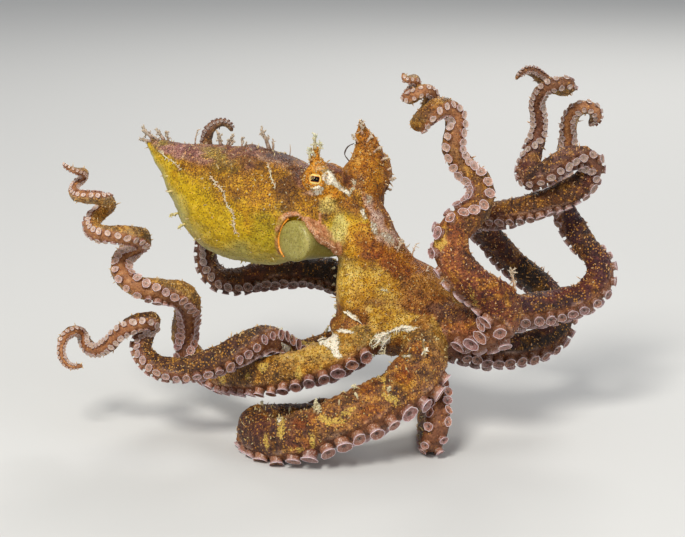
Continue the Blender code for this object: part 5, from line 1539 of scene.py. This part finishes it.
def make_papillae(tree, forms, material):
    """Branching papillae, threads, a filament, bulbs and the fringe of the lip, all in one piece."""
    heap = Heap()
    _, right, up, back = camera_axes()
    for (px, py), (lean, rise, near), length, radius, depth in PAPILLAE:
        root, _ = cast(tree, px, py)
        way = unit(lean * right + rise * up + near * back)
        base, tip = papilla_tones(px, py)
        branched(heap, root, way, PAPILLA_LENGTH * length, PAPILLA_WIDTH * radius, base, tip, depth)
    for runs, radius, *tones in THREADS:
        for run in runs:
            spots = trail(tree, run)
            if len(spots) > 1:
                thread(heap, spots, radius, [linear(tone) for tone in tones])
    foot, _ = cast(tree, *FILAMENT[0])
    scale = np.linalg.norm(foot - CAMERA_PLACE) / FOCAL_PIXELS
    steps = np.array(FILAMENT) - FILAMENT[0]
    spots = [foot + x * scale * right - y * scale * up for x, y in steps]
    thread(heap, spots, 0.22, [linear(FILAMENT_TONE)])
    px, first, last, step = BULBS_EDGE
    pale = linear(BULB_TONE)
    for py in np.arange(first, last, step):
        root, _ = cast(tree, px + rng.normal(), py)
        way = unit(-right + 0.3 * up * rng.normal() + 0.4 * back)
        spine(heap, root, way, 0.9, 0.4, pale, pale, lumps=0.1)
    edge = np.array(LIP[4:])
    _, base, tip = [linear(colour) for colour in TONES["lip"]]
    for first, last in zip(edge, edge[1:]):
        for _ in range(LIP_FRINGE):
            px, py = first + (last - first) * rng.random() + rng.normal(size=2)
            root, out = cast(tree, px, py)
            way = out + 0.5 * rng.normal(size=3)
            spine(heap, root - 0.2 * out, way, rng.uniform(0.3, 0.8), 0.2, base, tip, 5, 4)
    heap.piece("papillae", material, forms)


def papilla_tones(px, py):
    """Root and tip colours of a papilla by where it stands in the photograph."""
    if py < 160 and px < 300:
        return linear((120, 84, 66)), linear((190, 170, 144))
    if px < 300 and py < 300:
        return linear((190, 166, 84)), linear((220, 204, 140))
    if 300 < px < 325 and py < 160:
        return linear((170, 140, 84)), linear((216, 212, 176))
    if py < 300:
        return linear((150, 96, 54)), linear((206, 186, 158))
    return linear((160, 120, 70)), linear((226, 214, 170))


def thread(heap, spots, radius, tones):
    """A thin wandering tube of skin, ragged with short lobes where it has a second tone for them."""
    line = evenly(smooth_curve(spots)[0], 0.35)
    fringed = len(tones) > 1
    line = line + 0.3 * np.array([cloud(line, 1.6, 91 + k, 2) for k in range(3)]).T * fringed
    t = np.linspace(0, 1, len(line))
    thick = radius * (0.6 + 0.5 * np.sin(t * math.pi)) * (1 + 0.4 * cloud(line, 0.9, 97))
    form = cord("thread", line, thick)
    points = form.tube(6, 1)[0].reshape(-1, 6, 3)
    heap.add(points, np.broadcast_to(tones[0], points.shape))
    for k in np.arange(1, len(line) - 1).repeat(2) if fringed else ():
        way = unit(form.side[k] * rng.normal() + form.tangents[k] * rng.normal() + 0.5 * form.up[k])
        tone = tones[0] + (tones[1] - tones[0]) * rng.random()
        size = rng.uniform(0.3, 0.9) * (1.6 if rng.random() < 0.12 else 1.0)
        spine(heap, line[k] - 0.1 * way, way, size, rng.uniform(0.1, 0.2), tone, tone, 5, 4, blunt=0.5)


def make_thorns(place, normals, owner, arms, body, material):
    """Small thorns and warts over the backs of the arms, the head and the mantle."""
    heap = Heap()
    for i, form in enumerate(arms + body):
        rows = np.where(owner == i)[0]
        if form.name == "lip" or not len(rows):
            continue
        _, angle, _ = offsets_from(form, place[rows])
        if i < len(arms):
            weight = ramp(np.abs(angle), math.radians(62), math.radians(80)) + 0.02
            count, longest = int(form.length * THORNS_PER_MM), 0.7
        else:
            upper = ramp(-np.cos(angle), -0.2, 0.6)
            weight = 0.25 + upper if form.name == "mantle" else np.ones(len(rows))
            count, longest = THORN_COUNTS.get(form.name, 70), 0.75
        base, tip = [linear(colour) for colour in THORN_TONES.get(form.name, OTHER_THORNS)]
        for row in rng.choice(rows, count, p=weight / weight.sum()):
            out = normals[row] + 0.35 * rng.normal(size=3)
            length = rng.uniform(0.25, longest) * (2.2 if rng.random() < 0.08 else 1.0) + 0.25
            root = place[row] - 0.25 * normals[row]
            spine(heap, root, out, length, rng.uniform(0.14, 0.28), base, tip, 5, 4)
    heap.piece("thorns", material, arms + body)


def make_camera():
    """The camera that saw the photograph."""
    data = bpy.data.cameras.new("camera")
    camera = added("camera", data)
    data.sensor_fit = "HORIZONTAL"
    data.angle = 2 * math.atan(PICTURE[0] / 2 / FOCAL_PIXELS)
    data.clip_start, data.clip_end = 0.01, 10.0
    camera.location = Vector(CAMERA_PLACE) * MM
    camera.rotation_euler = Vector(CAMERA_TARGET - CAMERA_PLACE).to_track_quat("-Z", "Y").to_euler()
    bpy.context.scene.camera = camera


def area_light(name, place, size, power, colour):
    """A round light that faces the animal's middle, with lengths in metres."""
    data = bpy.data.lights.new(name, "AREA")
    data.shape, data.size, data.energy, data.color = "DISK", size, power, colour
    made = added(name, data)
    made.location = place
    made.rotation_euler = (Vector(LIT_PLACE) - Vector(place)).to_track_quat("-Z", "Y").to_euler()


def make_stage():
    """A plain floor, the sky's light and three lamps."""
    mesh = bpy.data.meshes.new("floor")
    mesh.from_pydata([(-3, -3, 0), (3, -3, 0), (3, 3, 0), (-3, 3, 0)], [], [(0, 1, 2, 3)])
    floor = added("floor", mesh)
    material = bpy.data.materials.new("floor")
    material.use_nodes = True
    shader = material.node_tree.nodes["Principled BSDF"]
    shader.inputs["Base Color"].default_value = FLOOR_COLOUR
    shader.inputs["Roughness"].default_value = 0.9
    mesh.materials.append(material)
    world = bpy.data.worlds.new("studio")
    world.use_nodes = True
    world.node_tree.nodes["Background"].inputs["Color"].default_value = SKY_COLOUR
    world.node_tree.nodes["Background"].inputs["Strength"].default_value = SKY_STRENGTH
    bpy.context.scene.world = world
    for light in LIGHTS:
        area_light(*light)
    bpy.context.scene.view_settings.view_transform = "Standard"


def main():
    make_camera()
    make_stage()
    arms = [arm_form(name) for name in ARM_ROUTES]
    body = [section_form(name, rows) for name, rows in BODY_SECTIONS.items()]
    mesh, place, owner, body = build_skin(arms, body)
    place = lid_shape(place)
    normals = normals_of(mesh, place)
    away = np.min([np.linalg.norm(place - SHIFT - np.array(c), axis=1) for c in EYE_CENTRES.values()], axis=0)
    relief = skin_relief(place, owner, arms + body, len(arms)) * ramp(away, *BARE_ROUND_EYES)
    place += relief[:, None] * normals
    place[:, 2] = np.maximum(place[:, 2], 0.0)
    normals = normals_of(mesh, place)
    tree = BVHTree.FromPolygons(place.tolist(), [tuple(p.vertices) for p in mesh.polygons])
    paint = painted(place, owner, arms, body)
    mark(paint, place, normals, tree)
    paint.store(mesh)
    skin = shown("octopus_skin", mesh, skin_material())
    flesh = [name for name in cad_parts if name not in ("eye_right", "eye_left", "siphon")]
    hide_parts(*flesh)
    rubber = piece_material("sucker", 0.38, 0.2, 3.0)
    for arm in arms:
        suckers = Heap()
        arm_suckers(arm, [a for a in arms if a is not arm] + body, suckers)
        suckers.piece("suckers_" + arm.name, rubber, arms + body)
    bumps = piece_material("papilla", 0.5, 0.15, 2.5)
    make_papillae(tree, arms + body, bumps)
    make_thorns(place, normals, owner, arms, body, bumps)
    make_eyes(eye_material())
    make_siphon(tree, siphon_material())


main()
